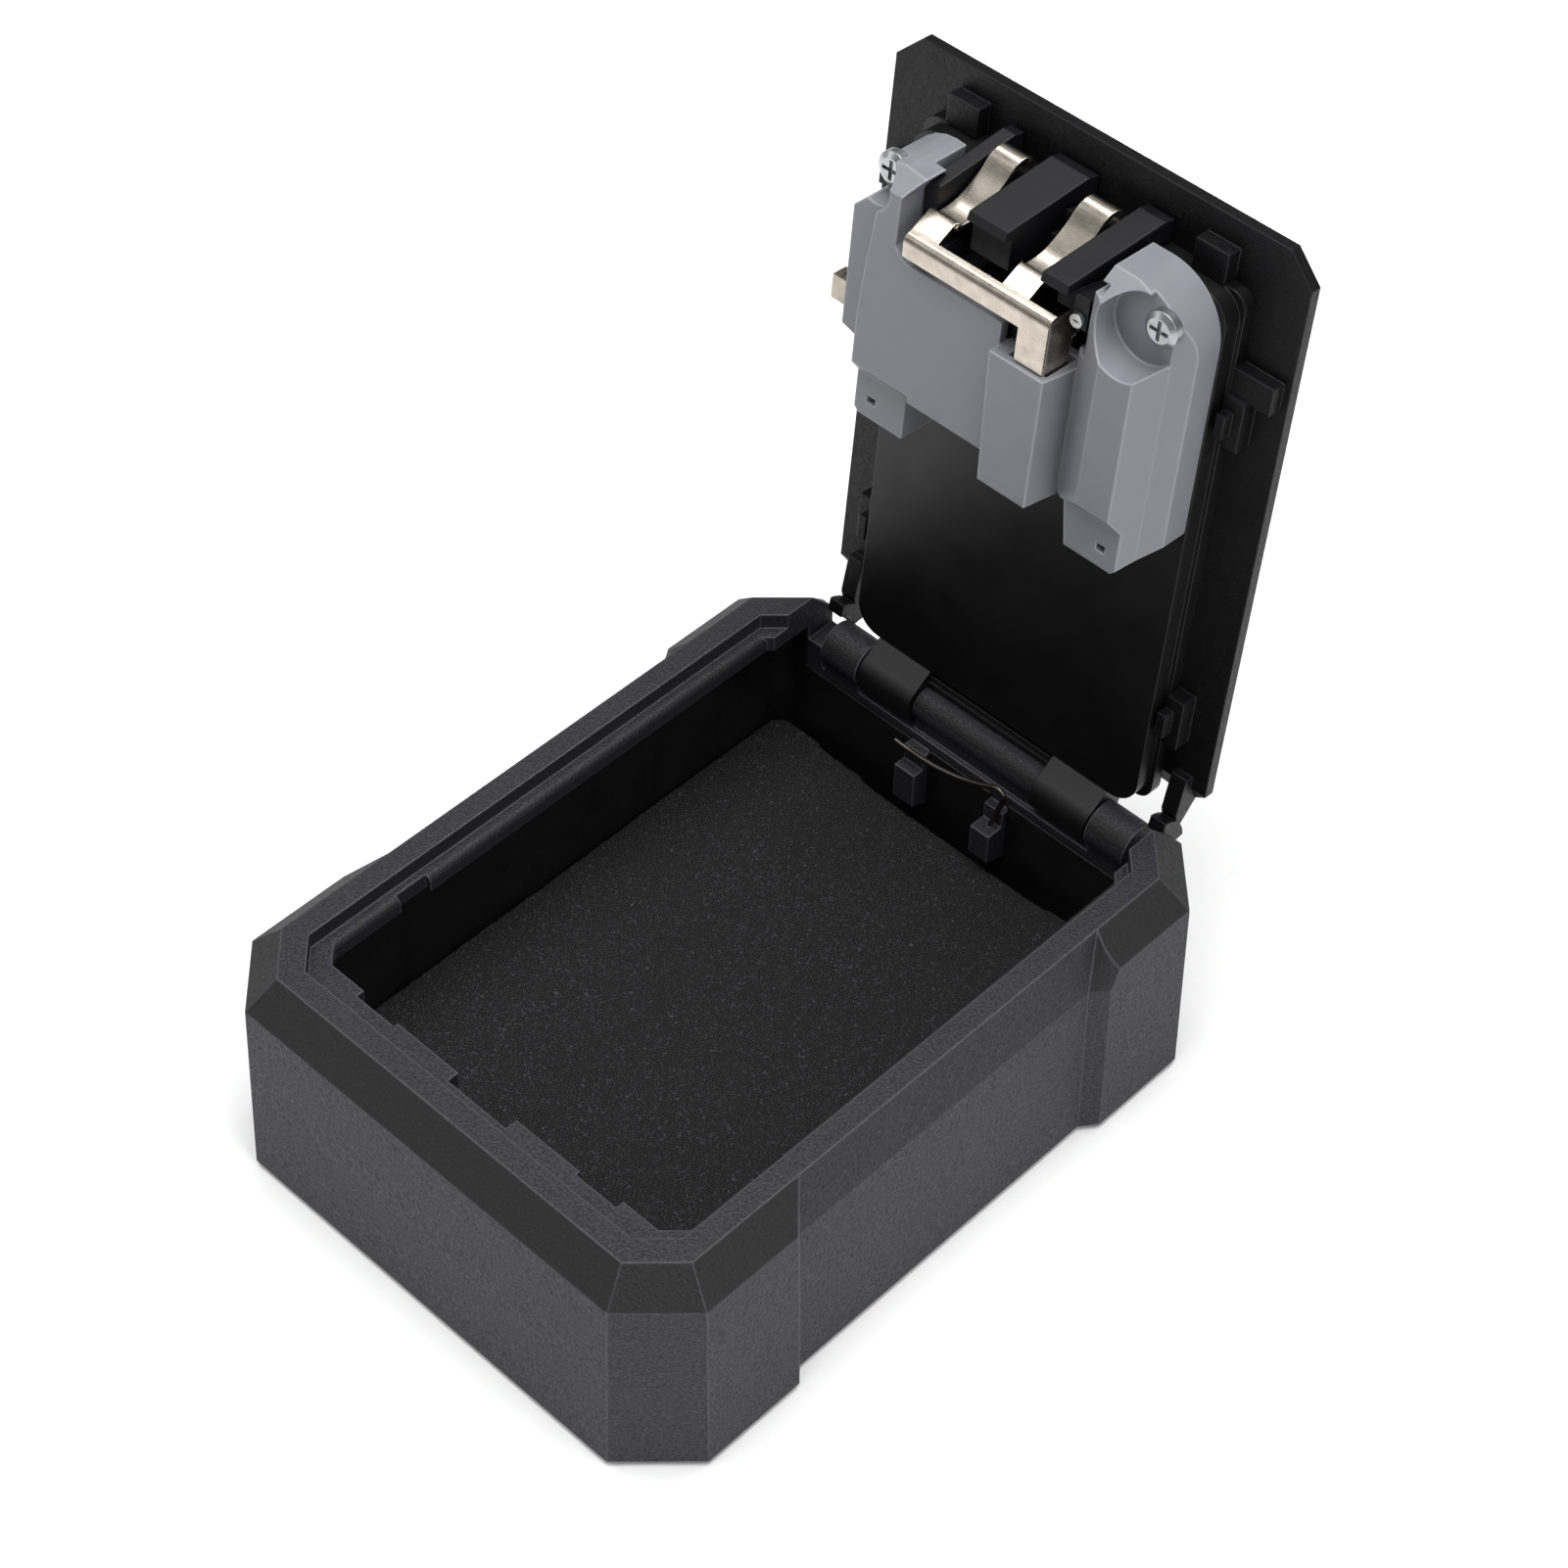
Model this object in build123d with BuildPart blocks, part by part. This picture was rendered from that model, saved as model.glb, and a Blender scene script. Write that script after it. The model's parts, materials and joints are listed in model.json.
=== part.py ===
from build123d import *
import os
from math import cos, radians, sin, sqrt

# Wall-mounted key box with a combination lid, lying on its back with the lid open.
# Millimetres. X runs along the hinge, Y from the latch wall to the hinge wall, Z up.
# The origin is the middle of the back face, which is also the middle of the wall screws.

# ---- box: outer form ---------------------------------------------------------------
box_w = 105.0           # across the shoulder line
box_l = 135.4           # latch wall to hinge wall, on the shoulder line
box_h = 45.4            # back face to rim
shoulder_h = box_h - 5.7            # where the walls turn into the rim bevel
bevel_in = 5.4          # the rim stands in from the shoulder by this
base_flare = 1.3        # draft of the walls, per side
corner_leg = 10.7       # cut-off corner, along each side
base_chamfer = 1.2
recess_depth = 2.3      # the long sides lie back between the corner guards
recess_half = 34.3      # half the length of that recess, at the crease
crease_h = shoulder_h - 4.0         # crease of the recessed side
guard_slope = 1.1       # run of a front guard's end face, per mm of depth
guard_slope_rear = 1.3
guard_lean_front = 2.8  # the guards' ends lean outwards from the crease to the rim
guard_lean_rear = 4.7

# ---- box: rim, ledge and cavity ----------------------------------------------------
rim_band = 4.2
ledge_h = box_h - 3.2   # the closed lid lies over this ledge
ledge_t = 3.2
ledge_w = 2.6           # ledge beside the lid on the long sides
lip_round = 1.2
ledge_rear = 1.1        # ledge under the lid's hinge edge
rebate_leg = 5.5
mouth_leg = 2.7         # cut-off corners of the mouth
mouth_leg_rear = 5.2
rear_wall = 6.2
floor_t = 4.0
wall_back = 1.6         # the cavity runs this far beyond the rebate, under the ledge
front_under = 2.1       # and this far at the latch wall
cavity_round = 4.0
mouth_front_in = 5.6    # ledge depth at the front corners
clip_gap_in = 4.05      # ledge depth where the lid's top clips come down
tab_in = 4.9            # ledge depth at the two catch tabs
centre_in = 2.6         # ledge depth between the tabs
tab_from = 6.7
tab_to = 21.0
clip_to = 29.9
notch_end = 29.5        # side notches for the lid's clips, from the rebate's front end
notch_l = 6.6
notch_in = 1.2

# ---- hinge -------------------------------------------------------------------------
hinge_in = 3.1          # hinge axis, in from the shoulder of the hinge wall
hinge_h = box_h - 9.5
knuckle_r = 4.4
barrel_r = 3.15         # slim middle barrel
pin_r = 1.25
pin_play = 0.05
barrel_half = 14.0
lid_knuckle = (14.3, 26.4)
box_knuckle = (26.8, 35.2)
tongue = (35.7, 38.9)
hinge_gap = 0.5
open_angle = 94.5        # opening angle, degrees
tongue_r = 7.4
tongue_t = 1.6
tongue_reach = 15.0     # the tongues' roots run this far along the lid's inner face

# ---- inside the box ----------------------------------------------------------------
liner_t = 0.6
foam_t = 9.6
foam_gap = 0.3
foam_bow = 2.6
mount_x = 60.0
mount_y = 84.0
mount_r = 2.4
wire_r = 0.5
post_left = (-13.8, -9.2, hinge_h - 10.4, 4.2)   # x from, x to, top, reach from the wall
post_right = (5.2, 9.4, hinge_h - 11.2, 5.2)
post_base = hinge_h - 20.3
post_back_t = 1.8       # the back of each post is thinner and taller
post_back_h = 3.4
wire_in = 2.6           # wire, out from the rear wall
wire_depth = 2.4        # the wire's foot in the right post
wire_bend = 1.5
wire_turn = 137.0       # angle of its bend, degrees
wire_rise = 8.0         # foot of the bend, above the right post
wire_end = (-15.4, hinge_h - 6.6)    # free end of the wire

# ---- lid ---------------------------------------------------------------------------
plate_t = 2.8
lid_gap = 0.8
plate_leg = 5.0
plate_bevel = 5.2
frame_w = 64.2
frame_from = 6.3
frame_in = 10.1         # the frame ends this far short of the plate's free end
frame_t = 5.8
frame_skin = 1.8
frame_round = 5.2
frame_lip = 2.3         # lip that reaches down to the hinge barrel
lip_groove = 1.4
shield_t = 0.5

# ---- dials -------------------------------------------------------------------------
dial_r = 8.0
dial_w = 5.8
dial_notch = 1.5
dial_pitch = 7.6
dial_count = 4
dial_to_slot = 3.6      # rim of the dials to the slider's slot
dial_depth = 4.2        # dial axis, below the plate's inner face
shaft_r = 1.5
sleeve_r = 3.6
dial_play = 0.6

# ---- lock housing ------------------------------------------------------------------
cover_half = 31.8
cover_in = 7.1          # housing's upper end, short of the plate's free end
cover_l = 52.2
notch_cover_l = 10.6    # the two legs are this much longer than the middle
cover_round = 11.5
cover_front = 21.0      # depth of the front faces
cover_wall = 1.8
side_slope = 4.5        # the ridges stand in from the sides by this
fold_in = 2.6           # fold between the sides' slope and the outer rim
rim_w = 11.2
top_slope = 5.0         # the lobes' upper ends slope back from here
leg_front = 18.0        # front of the two legs
leg_step = (8.4, 12.2)  # step from the legs to the lobes, above the legs' ends
leg_in = 14.2           # inner side of the legs, in from the housing's side
tower = (1.6, 13.6)     # spring tower, x from and to
tower_rise = 2.3
tower_l = 24.7
tower_slant = 1.2       # the tower's left side runs in by this towards its lower end
tower_draft = 1.0
valley_w = 16.4         # depth of the groove between the tower and the right lobe
rib_h = 0.9
rib_gap = 0.8
crest_in = 11.2         # the right lobe slopes up from the rib to this line
pocket_back = 14.2
pocket_wall = (2.6, 1.6)
recess_w = 14.4         # depth of the screw recesses
recess_right = (7.8, 7.4, 6.6)   # middle, in from the side and the upper end; radius
recess_left = (4.2, 6.2, 4.4)
lever_box = (37.3, 10.3)         # box round the reset lever, down from the upper end
lever_box_w = 19.0
sweep_top = 7.6         # curved step of the main front, in from the side
open_sweep = 5.0        # the latch opening's left side runs in by this at the upper end
open_corner = 2.0
pocket_skin = 1.5
lever_room = (1.4, 2.6)          # behind and in front of the reset lever's back face
mark_size = (1.8, 1.4)  # small moulding holes
mark_in = 2.6
screw_in = 5.4          # housing screws, in from the housing's upper end
screw_r = 1.3
opening_drop = 6.9      # lower edge of the latch opening, below the bar's top

# ---- latch -------------------------------------------------------------------------
strip_t = 1.2
finger_w = 5.0
finger_x = (-10.9, 7.2)
bar_from = -20.4
bar_in = 9.4            # top of the latch bar, below the housing's upper end
bar_l = 4.6
bar_sunk = 0.2          # the bar's front lies this far behind the tower's
root_w = 16.0           # the root tabs run back to this depth
latch_travel = 3.2
slot_half = 4.0
slot_l = 6.6
tip_w = 3.9             # depth of the fingertips
flange_in = 2.3
leg_drop = 7.8          # the bar's right end reaches down into the tower
finger_reach = 1.9      # the fingertips end this far short of the catch tabs at rest
slot_drop = 9.2         # lower end of the slider's slot, below the bar's top
fit = 0.3

# ---- latch guide -------------------------------------------------------------------
guide_t = 2.2
guide_walls = ((-18.4, -14.2), (-7.6, 3.9), (10.9, 15.6))
guide_front = 15.6
guide_rise = 2.6        # beyond the latch's travel the walls stand higher
guide_top = 7.4         # front of their upper ends, above the bar
guide_end = 1.4         # the long walls end this far short of the catch tabs
screw_boss = (12.5, 18.4)
channels = ((-13.8, -8.0), (4.3, 10.4))

# ---- reset lever -------------------------------------------------------------------
lever_l = 4.6
lever_below = 5.0       # lower edge of the lever, below the dials' axis
lever_travel = 6.0
lever_w = 15.0
lever_out = 37.0


def octagon(width, length, leg):
    """Corners of a rectangle whose four corners are cut off."""
    a = width / 2
    b = length / 2
    quarter = [(a, b - leg), (a - leg, b)]
    other = [(-x, y) for x, y in reversed(quarter)]
    upper = quarter + other
    return upper + [(-x, -y) for x, y in upper]


def prism(plane, outline, height, mode=Mode.ADD):
    """Straight prism on a closed outline drawn in the plane."""
    with BuildSketch(plane) as profile:
        with BuildLine():
            Polyline(*outline, close=True)
        make_face()
    extrude(profile.sketch, amount=height, mode=mode)


def block(plane, low, high, mode=Mode.ADD):
    """Block between two corners given in the plane's own coordinates."""
    size = [b - a for a, b in zip(low, high)]
    middle = [(a + b) / 2 for a, b in zip(low, high)]
    with Locations(plane.location * Location(middle)):
        Box(*size, mode=mode)


def rod(plane, radius, length, mode=Mode.ADD):
    """Round bar that starts on the plane and runs along its normal."""
    with Locations(plane.location):
        Cylinder(radius, length, align=(Align.CENTER, Align.CENTER, Align.MIN), mode=mode)


def save(builder, label):
    """Label a finished piece and write it."""
    builder.part.label = label
    export_step(builder.part, f"parts/{label}.step")


os.makedirs("parts", exist_ok=True)

# ---- places worked out from the sizes ----------------------------------------------
hinge_y = box_l / 2 - hinge_in
leg_rate = 2 - sqrt(2)
rebate_w = box_w - 2 * (bevel_in + rim_band)
rebate_l = box_l - 2 * (bevel_in + rim_band)
ledge_low = ledge_h - ledge_t
mouth_half = rebate_w / 2 - ledge_w
mouth_rear = rebate_l / 2 - ledge_rear
cavity_half = rebate_w / 2 + ledge_w
cavity_front = -rebate_l / 2 - front_under
cavity_rear = box_l / 2 - rear_wall
liner_half = cavity_half - liner_t
foam_low = floor_t + liner_t + foam_gap
wall_top = hinge_h - knuckle_r - hinge_gap

lid_tilt = radians(open_angle)
lobe_turn = radians(45)
v_dir = Vector(0, -cos(lid_tilt), sin(lid_tilt))       # hinge to free end
w_dir = Vector(0, -sin(lid_tilt), -cos(lid_tilt))      # into the box when the lid is shut
plate_n = box_h - plate_t - hinge_h                    # plate's inner face beyond the axis
lid_in = Plane(
    origin=Vector(0, hinge_y, hinge_h) - w_dir * plate_n, x_dir=(1, 0, 0), z_dir=w_dir
)
plate_half = rebate_w / 2 - lid_gap
plate_free = hinge_y + rebate_l / 2 - lid_gap
frame_to = plate_free - frame_in
notch_to = hinge_y + rebate_l / 2 - notch_end + notch_l
notch_from = notch_to - notch_l
cover_top = plate_free - cover_in
cover_leg = cover_top - cover_l                        # lower end of the two legs
cover_mid = cover_leg + notch_cover_l                  # lower edge between them
tower_front = cover_front + tower_rise
bar_front = tower_front - bar_sunk
bar_top = cover_top - bar_in
bar_low = bar_top - bar_l
slot_v = (bar_top - slot_drop, bar_top - slot_drop + slot_l)
dial_v = slot_v[0] - dial_to_slot - dial_r             # dial axis
opening_low = bar_top - opening_drop
carriage_low = slot_v[0] - 4 * fit
tower_top = carriage_low - 2 * fit
tower_low = tower_top - tower_l
ridge_x = cover_half - side_slope
fold_x = cover_half - fold_in
leg_x = cover_half - leg_in
rib_x = tower[1] + rib_gap
screw_x = ridge_x
screw_v = cover_top - screw_in
tab_edge = hinge_y + rebate_l / 2 - tab_in             # edge of the catch tabs in the shut lid's v
guide_low = slot_v[0] - fit
wall_low = bar_top - 7 * fit
lever_v = (dial_v - lever_below, dial_v - lever_below + lever_l)
pocket_x = (tower[0] + pocket_wall[0], tower[1] - pocket_wall[1])
pocket_w = (pocket_back, tower_front - pocket_wall[1])
pocket_low = cover_mid + cover_wall + pocket_skin
plate_end = hinge_y - rebate_l / 2 + lid_gap
dial_x = [(i - (dial_count - 1) / 2) * dial_pitch for i in range(dial_count)]


def lid_side(x):
    """Plane across the lid at x: its own axes are v (hinge to free end) and w (depth)."""
    return Plane(origin=lid_in.origin + Vector(x, 0, 0), x_dir=v_dir, z_dir=(1, 0, 0))


def lid_cross(v):
    """Plane across the lid at v: its own axes are x and w, its normal runs to the hinge."""
    return Plane(origin=lid_in.origin + v_dir * v, x_dir=(1, 0, 0), z_dir=v_dir * -1)


# ---- key wire ----------------------------------------------------------------------
with BuildPart() as key_wire:
    wire_plane = Plane((0, cavity_rear - wire_in, 0), x_dir=(1, 0, 0), z_dir=(0, -1, 0))
    foot_x = (post_right[0] + post_right[1]) / 2
    foot_top = post_right[2] + wire_rise
    with BuildLine(wire_plane) as wire_path:
        leg = Line((foot_x - wire_r, post_right[2] - wire_depth), (foot_x + wire_in, foot_top))
        bend = JernArc(start=leg @ 1, tangent=leg % 1, radius=wire_bend, arc_size=wire_turn)
        TangentArc(bend @ 1, wire_end, tangent=bend % 1)
    with BuildSketch(Plane(origin=leg @ 0, z_dir=leg % 0)):
        Circle(wire_r)
    sweep(path=wire_path.line)
save(key_wire, "key_wire")

# ---- body shell --------------------------------------------------------------------
with BuildPart() as body_shell:
    for level, grow in ((0, base_flare), (shoulder_h, 0), (box_h, -bevel_in)):
        with BuildSketch(Plane.XY.offset(level)):
            with BuildLine():
                outline = octagon(box_w + 2 * grow, box_l + 2 * grow, corner_leg + grow * leg_rate)
                Polyline(*outline, close=True)
            make_face()
    loft(ruled=True)

    # recessed long sides between the corner guards
    rim_x = box_w / 2 - bevel_in
    crease_at = box_w / 2 - recess_depth
    over = 1.0
    climb = (box_h + over - crease_h) / (box_h - crease_h)
    reach = 2 * (recess_depth + base_flare)
    levels = (
        (-over, crease_at + base_flare, -recess_half, recess_half, guard_slope_rear),
        (crease_h, crease_at, -recess_half, recess_half, guard_slope_rear),
        (
            box_h + over,
            crease_at + (rim_x - crease_at) * climb,
            -recess_half + guard_lean_front * climb,
            recess_half + guard_lean_rear * climb,
            0,
        ),
    )
    for side in (-1, 1):
        with BuildPart(mode=Mode.PRIVATE) as recess:
            for level, x_in, y_front, y_rear, rear_slope in levels:
                with BuildSketch(Plane.XY.offset(level)):
                    with BuildLine():
                        Polyline(
                            (side * x_in, y_front),
                            (side * x_in, y_rear),
                            (side * (x_in + reach), y_rear + rear_slope * reach),
                            (side * (x_in + reach), y_front - guard_slope * reach),
                            close=True,
                        )
                    make_face()
            loft(ruled=True)
        add(recess.part, mode=Mode.SUBTRACT)
    chamfer(body_shell.edges().group_by(Axis.Z)[0], base_chamfer)

    # cavity, rebate for the lid, and the mouth with its catch tabs
    with BuildSketch(Plane.XY.offset(floor_t)):
        with Locations((0, (cavity_front + cavity_rear) / 2)):
            RectangleRounded(2 * cavity_half, cavity_rear - cavity_front, cavity_round)
    extrude(amount=ledge_low - floor_t, mode=Mode.SUBTRACT)
    prism(
        Plane.XY.offset(ledge_h),
        octagon(rebate_w, rebate_l, rebate_leg),
        box_h - ledge_h + over,
        mode=Mode.SUBTRACT,
    )
    mouth_front = -rebate_l / 2 + mouth_front_in
    prism(
        Plane.XY.offset(ledge_low - over),
        [
            (mouth_half, mouth_front + mouth_leg),
            (mouth_half, mouth_rear - mouth_leg_rear),
            (mouth_half - mouth_leg_rear, mouth_rear),
            (-mouth_half + mouth_leg_rear, mouth_rear),
            (-mouth_half, mouth_rear - mouth_leg_rear),
            (-mouth_half, mouth_front + mouth_leg),
            (-mouth_half + mouth_leg, mouth_front),
            (mouth_half - mouth_leg, mouth_front),
        ],
        ledge_t + 2 * over,
        mode=Mode.SUBTRACT,
    )
    lip = body_shell.edges().filter_by(Axis.Y).filter_by_position(
        Axis.Z, ledge_h, ledge_h
    ).filter_by_position(Axis.X, -mouth_half - fit, mouth_half + fit)
    fillet(lip, lip_round)
    for x_from, x_to, depth in (
        (-clip_to, clip_to, clip_gap_in),
        (-tab_from, tab_from, centre_in),
    ):
        block(
            Plane.XY,
            (x_from, -rebate_l / 2 + depth, ledge_low - over),
            (x_to, mouth_front + over, ledge_h + over),
            mode=Mode.SUBTRACT,
        )
    for side in (-1, 1):
        x_from, x_to = sorted((side * tab_from, side * tab_to))
        block(
            Plane.XY,
            (x_from, -rebate_l / 2 + centre_in, ledge_low),
            (x_to, -rebate_l / 2 + tab_in, ledge_h),
        )
        x_from, x_to = sorted((side * (mouth_half - over), side * (mouth_half + notch_in)))
        block(
            Plane.XY,
            (x_from, hinge_y - notch_to, ledge_low - over),
            (x_to, hinge_y - notch_from, ledge_h + over),
            mode=Mode.SUBTRACT,
        )

    # room for the hinge in the rear wall
    room_from = mouth_rear - hinge_gap
    room_to = box_l / 2 + 2 * base_flare
    block(
        Plane.XY,
        (-box_knuckle[1] - hinge_gap, room_from, wall_top),
        (box_knuckle[1] + hinge_gap, room_to, box_h + over),
        mode=Mode.SUBTRACT,
    )
    block(
        Plane.XY,
        (-tongue[1] - hinge_gap, room_from, hinge_h),
        (tongue[1] + hinge_gap, room_to, box_h + over),
        mode=Mode.SUBTRACT,
    )
    for side in (-1, 1):
        x_from, x_to = sorted((side * (tongue[0] - hinge_gap), side * (tongue[1] + hinge_gap)))
        block(
            Plane.XY,
            (x_from, hinge_y - tongue_reach - hinge_gap, ledge_low - over),
            (x_to, room_to, box_h + over),
            mode=Mode.SUBTRACT,
        )
    spans = (
        (-box_knuckle[1], -box_knuckle[0], knuckle_r),
        (-barrel_half, barrel_half, barrel_r),
        (box_knuckle[0], box_knuckle[1], knuckle_r),
    )
    for x_from, x_to, radius in spans:
        with BuildSketch(Plane.YZ.offset(x_from)):
            with Locations((hinge_y, hinge_h)):
                Circle(radius)
            with Locations((hinge_y, (hinge_h + wall_top) / 2)):
                Rectangle(2 * hinge_in * radius / knuckle_r, hinge_h - wall_top)
        extrude(amount=x_to - x_from)
    rod(
        Plane((-box_knuckle[1] - over, hinge_y, hinge_h), x_dir=(0, 1, 0), z_dir=(1, 0, 0)),
        pin_r,
        2 * (box_knuckle[1] + over),
        mode=Mode.SUBTRACT,
    )

    # two posts on the rear wall hold the key wire
    for x_from, x_to, top, out in (post_left, post_right):
        with BuildSketch(Plane.YZ.offset(x_from)):
            with BuildLine():
                Polyline(
                    (cavity_rear + over, post_base),
                    (cavity_rear - out, post_base + out / 2),
                    (cavity_rear - out, top),
                    (cavity_rear - post_back_t, top),
                    (cavity_rear - post_back_t, top + post_back_h),
                    (cavity_rear + over, top + post_back_h),
                    close=True,
                )
            make_face()
        extrude(amount=x_to - x_from)

    add(key_wire.part, mode=Mode.SUBTRACT)

    with Locations(Plane.XY.offset(floor_t)):
        with GridLocations(mount_x, mount_y, 2, 2):
            CounterSinkHole(radius=mount_r, counter_sink_radius=2 * mount_r)
save(body_shell, "body_shell")

# ---- shielding liner and foam pad ---------------------------------------------------
with BuildPart() as shield_liner:
    for inset, low, mode in ((0, floor_t, Mode.ADD), (liner_t, floor_t + liner_t, Mode.SUBTRACT)):
        with BuildSketch(Plane.XY.offset(low)):
            with Locations((0, (cavity_front + cavity_rear) / 2)):
                RectangleRounded(
                    2 * (cavity_half - inset),
                    cavity_rear - cavity_front - 2 * inset,
                    cavity_round - inset,
                )
        extrude(amount=ledge_low - foam_gap - low, mode=mode)
    block(
        Plane.XY,
        (-tongue[1] - hinge_gap, mouth_rear, wall_top - 3 * hinge_gap),
        (tongue[1] + hinge_gap, cavity_rear + over, ledge_h),
        mode=Mode.SUBTRACT,
    )
    for x_from, x_to, top, out in (post_left, post_right):
        block(
            Plane.XY,
            (x_from, cavity_rear - 2 * liner_t, post_base),
            (x_to, cavity_rear + over, ledge_h),
            mode=Mode.SUBTRACT,
        )
    with Locations(Plane.XY.offset(floor_t + liner_t)):
        with GridLocations(mount_x, mount_y, 2, 2):
            Hole(2 * mount_r)
save(shield_liner, "shield_liner")

with BuildPart() as foam_pad:
    foam_half = liner_half - foam_gap
    foam_front = cavity_front + liner_t + foam_gap
    foam_rear = cavity_rear - liner_t - foam_gap
    with BuildSketch(Plane.XY.offset(foam_low)):
        with BuildLine():
            Polyline(
                (-foam_half, foam_rear),
                (-foam_half, foam_front),
                (foam_half, foam_front),
                (foam_half, foam_rear),
            )
            ThreePointArc(
                (-foam_half, foam_rear), (0, foam_rear - foam_bow), (foam_half, foam_rear)
            )
        make_face()
    extrude(amount=foam_t)
    fillet(foam_pad.edges().filter_by(Axis.Z), cavity_round)
save(foam_pad, "foam_pad")

with BuildPart() as hinge_pin:
    rod(
        Plane((-box_knuckle[1], hinge_y, hinge_h), x_dir=(0, 1, 0), z_dir=(1, 0, 0)),
        pin_r,
        2 * box_knuckle[1],
    )
save(hinge_pin, "hinge_pin")

# ---- lid plate ---------------------------------------------------------------------
clip_side = ((21.5, 31.5), (84.5, 94.0))
clip_gap = 0.9           # clip posts stand this far from the frame
clip_base = 3.5
clip_base_h = 3.2
clip_tip = 1.7
clip_tip_h = 5.2
clip_tip_in = 2.6
key_clip_h = 2.6
end_clip_x = (22.0, 28.4)
end_clip_l = 5.3
end_clip_h = 2.8
field_t = 0.8
field_margin = 4.0
field_side = 6.8          # field beyond the outer dials
window_gap = 0.5

with BuildPart() as lid_plate:
    with BuildSketch(lid_side(-plate_half)):
        with BuildLine():
            Polyline(
                (plate_end, -plate_t),
                (plate_free, -plate_t),
                (plate_free, 0),
                (plate_end + plate_bevel, 0),
                close=True,
            )
        make_face()
    extrude(amount=2 * plate_half)
    with BuildSketch(lid_in.offset(-plate_t)):
        with Locations((0, (plate_end + plate_free) / 2)):
            plan = Rectangle(2 * plate_half, plate_free - plate_end)
            chamfer(plan.vertices(), plate_leg)
    extrude(amount=plate_t, mode=Mode.INTERSECT)
    chamfer(lid_plate.faces().sort_by(Axis(lid_in.origin, w_dir))[0].outer_wire().edges(), 0.7)

    # sunk field on the outside, with the dial windows and the slider's slot
    field_v = (dial_v - dial_r - field_margin, slot_v[1] + 2 * field_margin)
    field_w = dial_count * dial_pitch + 2 * field_side
    with BuildSketch(lid_in.offset(-plate_t)):
        with Locations((0, (field_v[0] + field_v[1]) / 2)):
            RectangleRounded(field_w, field_v[1] - field_v[0], 3.0)
    extrude(amount=field_t, mode=Mode.SUBTRACT)
    window_half = sqrt(dial_r**2 - dial_depth**2) + window_gap
    for x in dial_x:
        block(
            lid_in,
            (x - dial_w / 2 - fit, dial_v - window_half, -plate_t),
            (x + dial_w / 2 + fit, dial_v + window_half, fit),
            mode=Mode.SUBTRACT,
        )
    block(lid_in, (-slot_half, slot_v[0], -plate_t), (slot_half, slot_v[1], fit), mode=Mode.SUBTRACT)

    # clip posts that hold the frame
    clip_x = frame_w / 2 + clip_gap
    for side in (-1, 1):
        for v_from, v_to in clip_side:
            x_from, x_to = sorted((side * clip_x, side * (clip_x + clip_base)))
            block(lid_in, (x_from, v_from, 0), (x_to, v_to, clip_base_h))
            x_from, x_to = sorted((side * clip_x, side * (clip_x + clip_tip)))
            block(
                lid_in,
                (x_from, v_from + clip_tip_in, clip_base_h),
                (x_to, v_to - clip_tip_in, clip_tip_h),
            )
        x_from, x_to = sorted((side * clip_x, side * (mouth_half + notch_in - lid_gap)))
        block(lid_in, (x_from, notch_from + lid_gap, 0), (x_to, notch_to - lid_gap, key_clip_h))
        x_from, x_to = sorted((side * end_clip_x[0], side * end_clip_x[1]))
        block(lid_in, (x_from, frame_to + fit, 0), (x_to, frame_to + fit + end_clip_l, end_clip_h))

    # curved tongues that ride over the rear wall beside the knuckles
    for side in (-1, 1):
        x_from = min(side * tongue[0], side * tongue[1])
        with BuildSketch(lid_side(x_from)):
            with Locations((0, plate_n)):
                Circle(tongue_r)
                Circle(knuckle_r + hinge_gap, mode=Mode.SUBTRACT)
            with BuildLine():
                Polyline(
                    (0, plate_n),
                    (0.2 * tongue_r, plate_n - 1.2 * tongue_r),
                    (1.6 * tongue_r, plate_n - 1.2 * tongue_r),
                    (1.6 * tongue_r, plate_n - 0.3 * tongue_r),
                    close=True,
                )
            make_face(mode=Mode.INTERSECT)
            with BuildLine():
                Polyline(
                    (0.5 * tongue_r, plate_n - 0.7 * tongue_r),
                    (plate_end + tongue_t, fit - plate_t),
                    (plate_end + plate_bevel, -fit),
                    (tongue_reach, -fit),
                    (tongue_reach, tongue_t),
                    (tongue_r, plate_n - 0.55 * tongue_r),
                    close=True,
                )
            make_face()
        extrude(amount=tongue[1] - tongue[0])
save(lid_plate, "lid_plate")

# ---- lid frame ---------------------------------------------------------------------
ear_w = 7.4
ear_t = 2.2
ear_half = 3.4           # half the length of an ear, across the shaft
ear_x = (dial_x[-1] + dial_pitch / 2, dial_x[-1] + dial_pitch / 2 + ear_t)
window_v = (dial_v - dial_r - dial_play, dial_v + dial_r + dial_play)
window_rim = 2.0
boss_r = 4.6
pad_x = 20.0
pad_v = 24.0
boss_at = (screw_x - 2 * fit, frame_to - boss_r - fit)
foot_grow = 0.8          # the frame's foot stands out by this
foot_h = 2.4
foot_round = 3.1
web_low = 0.2            # the knuckles' webs stay this far off the plate
web_top = 3.6

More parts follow.
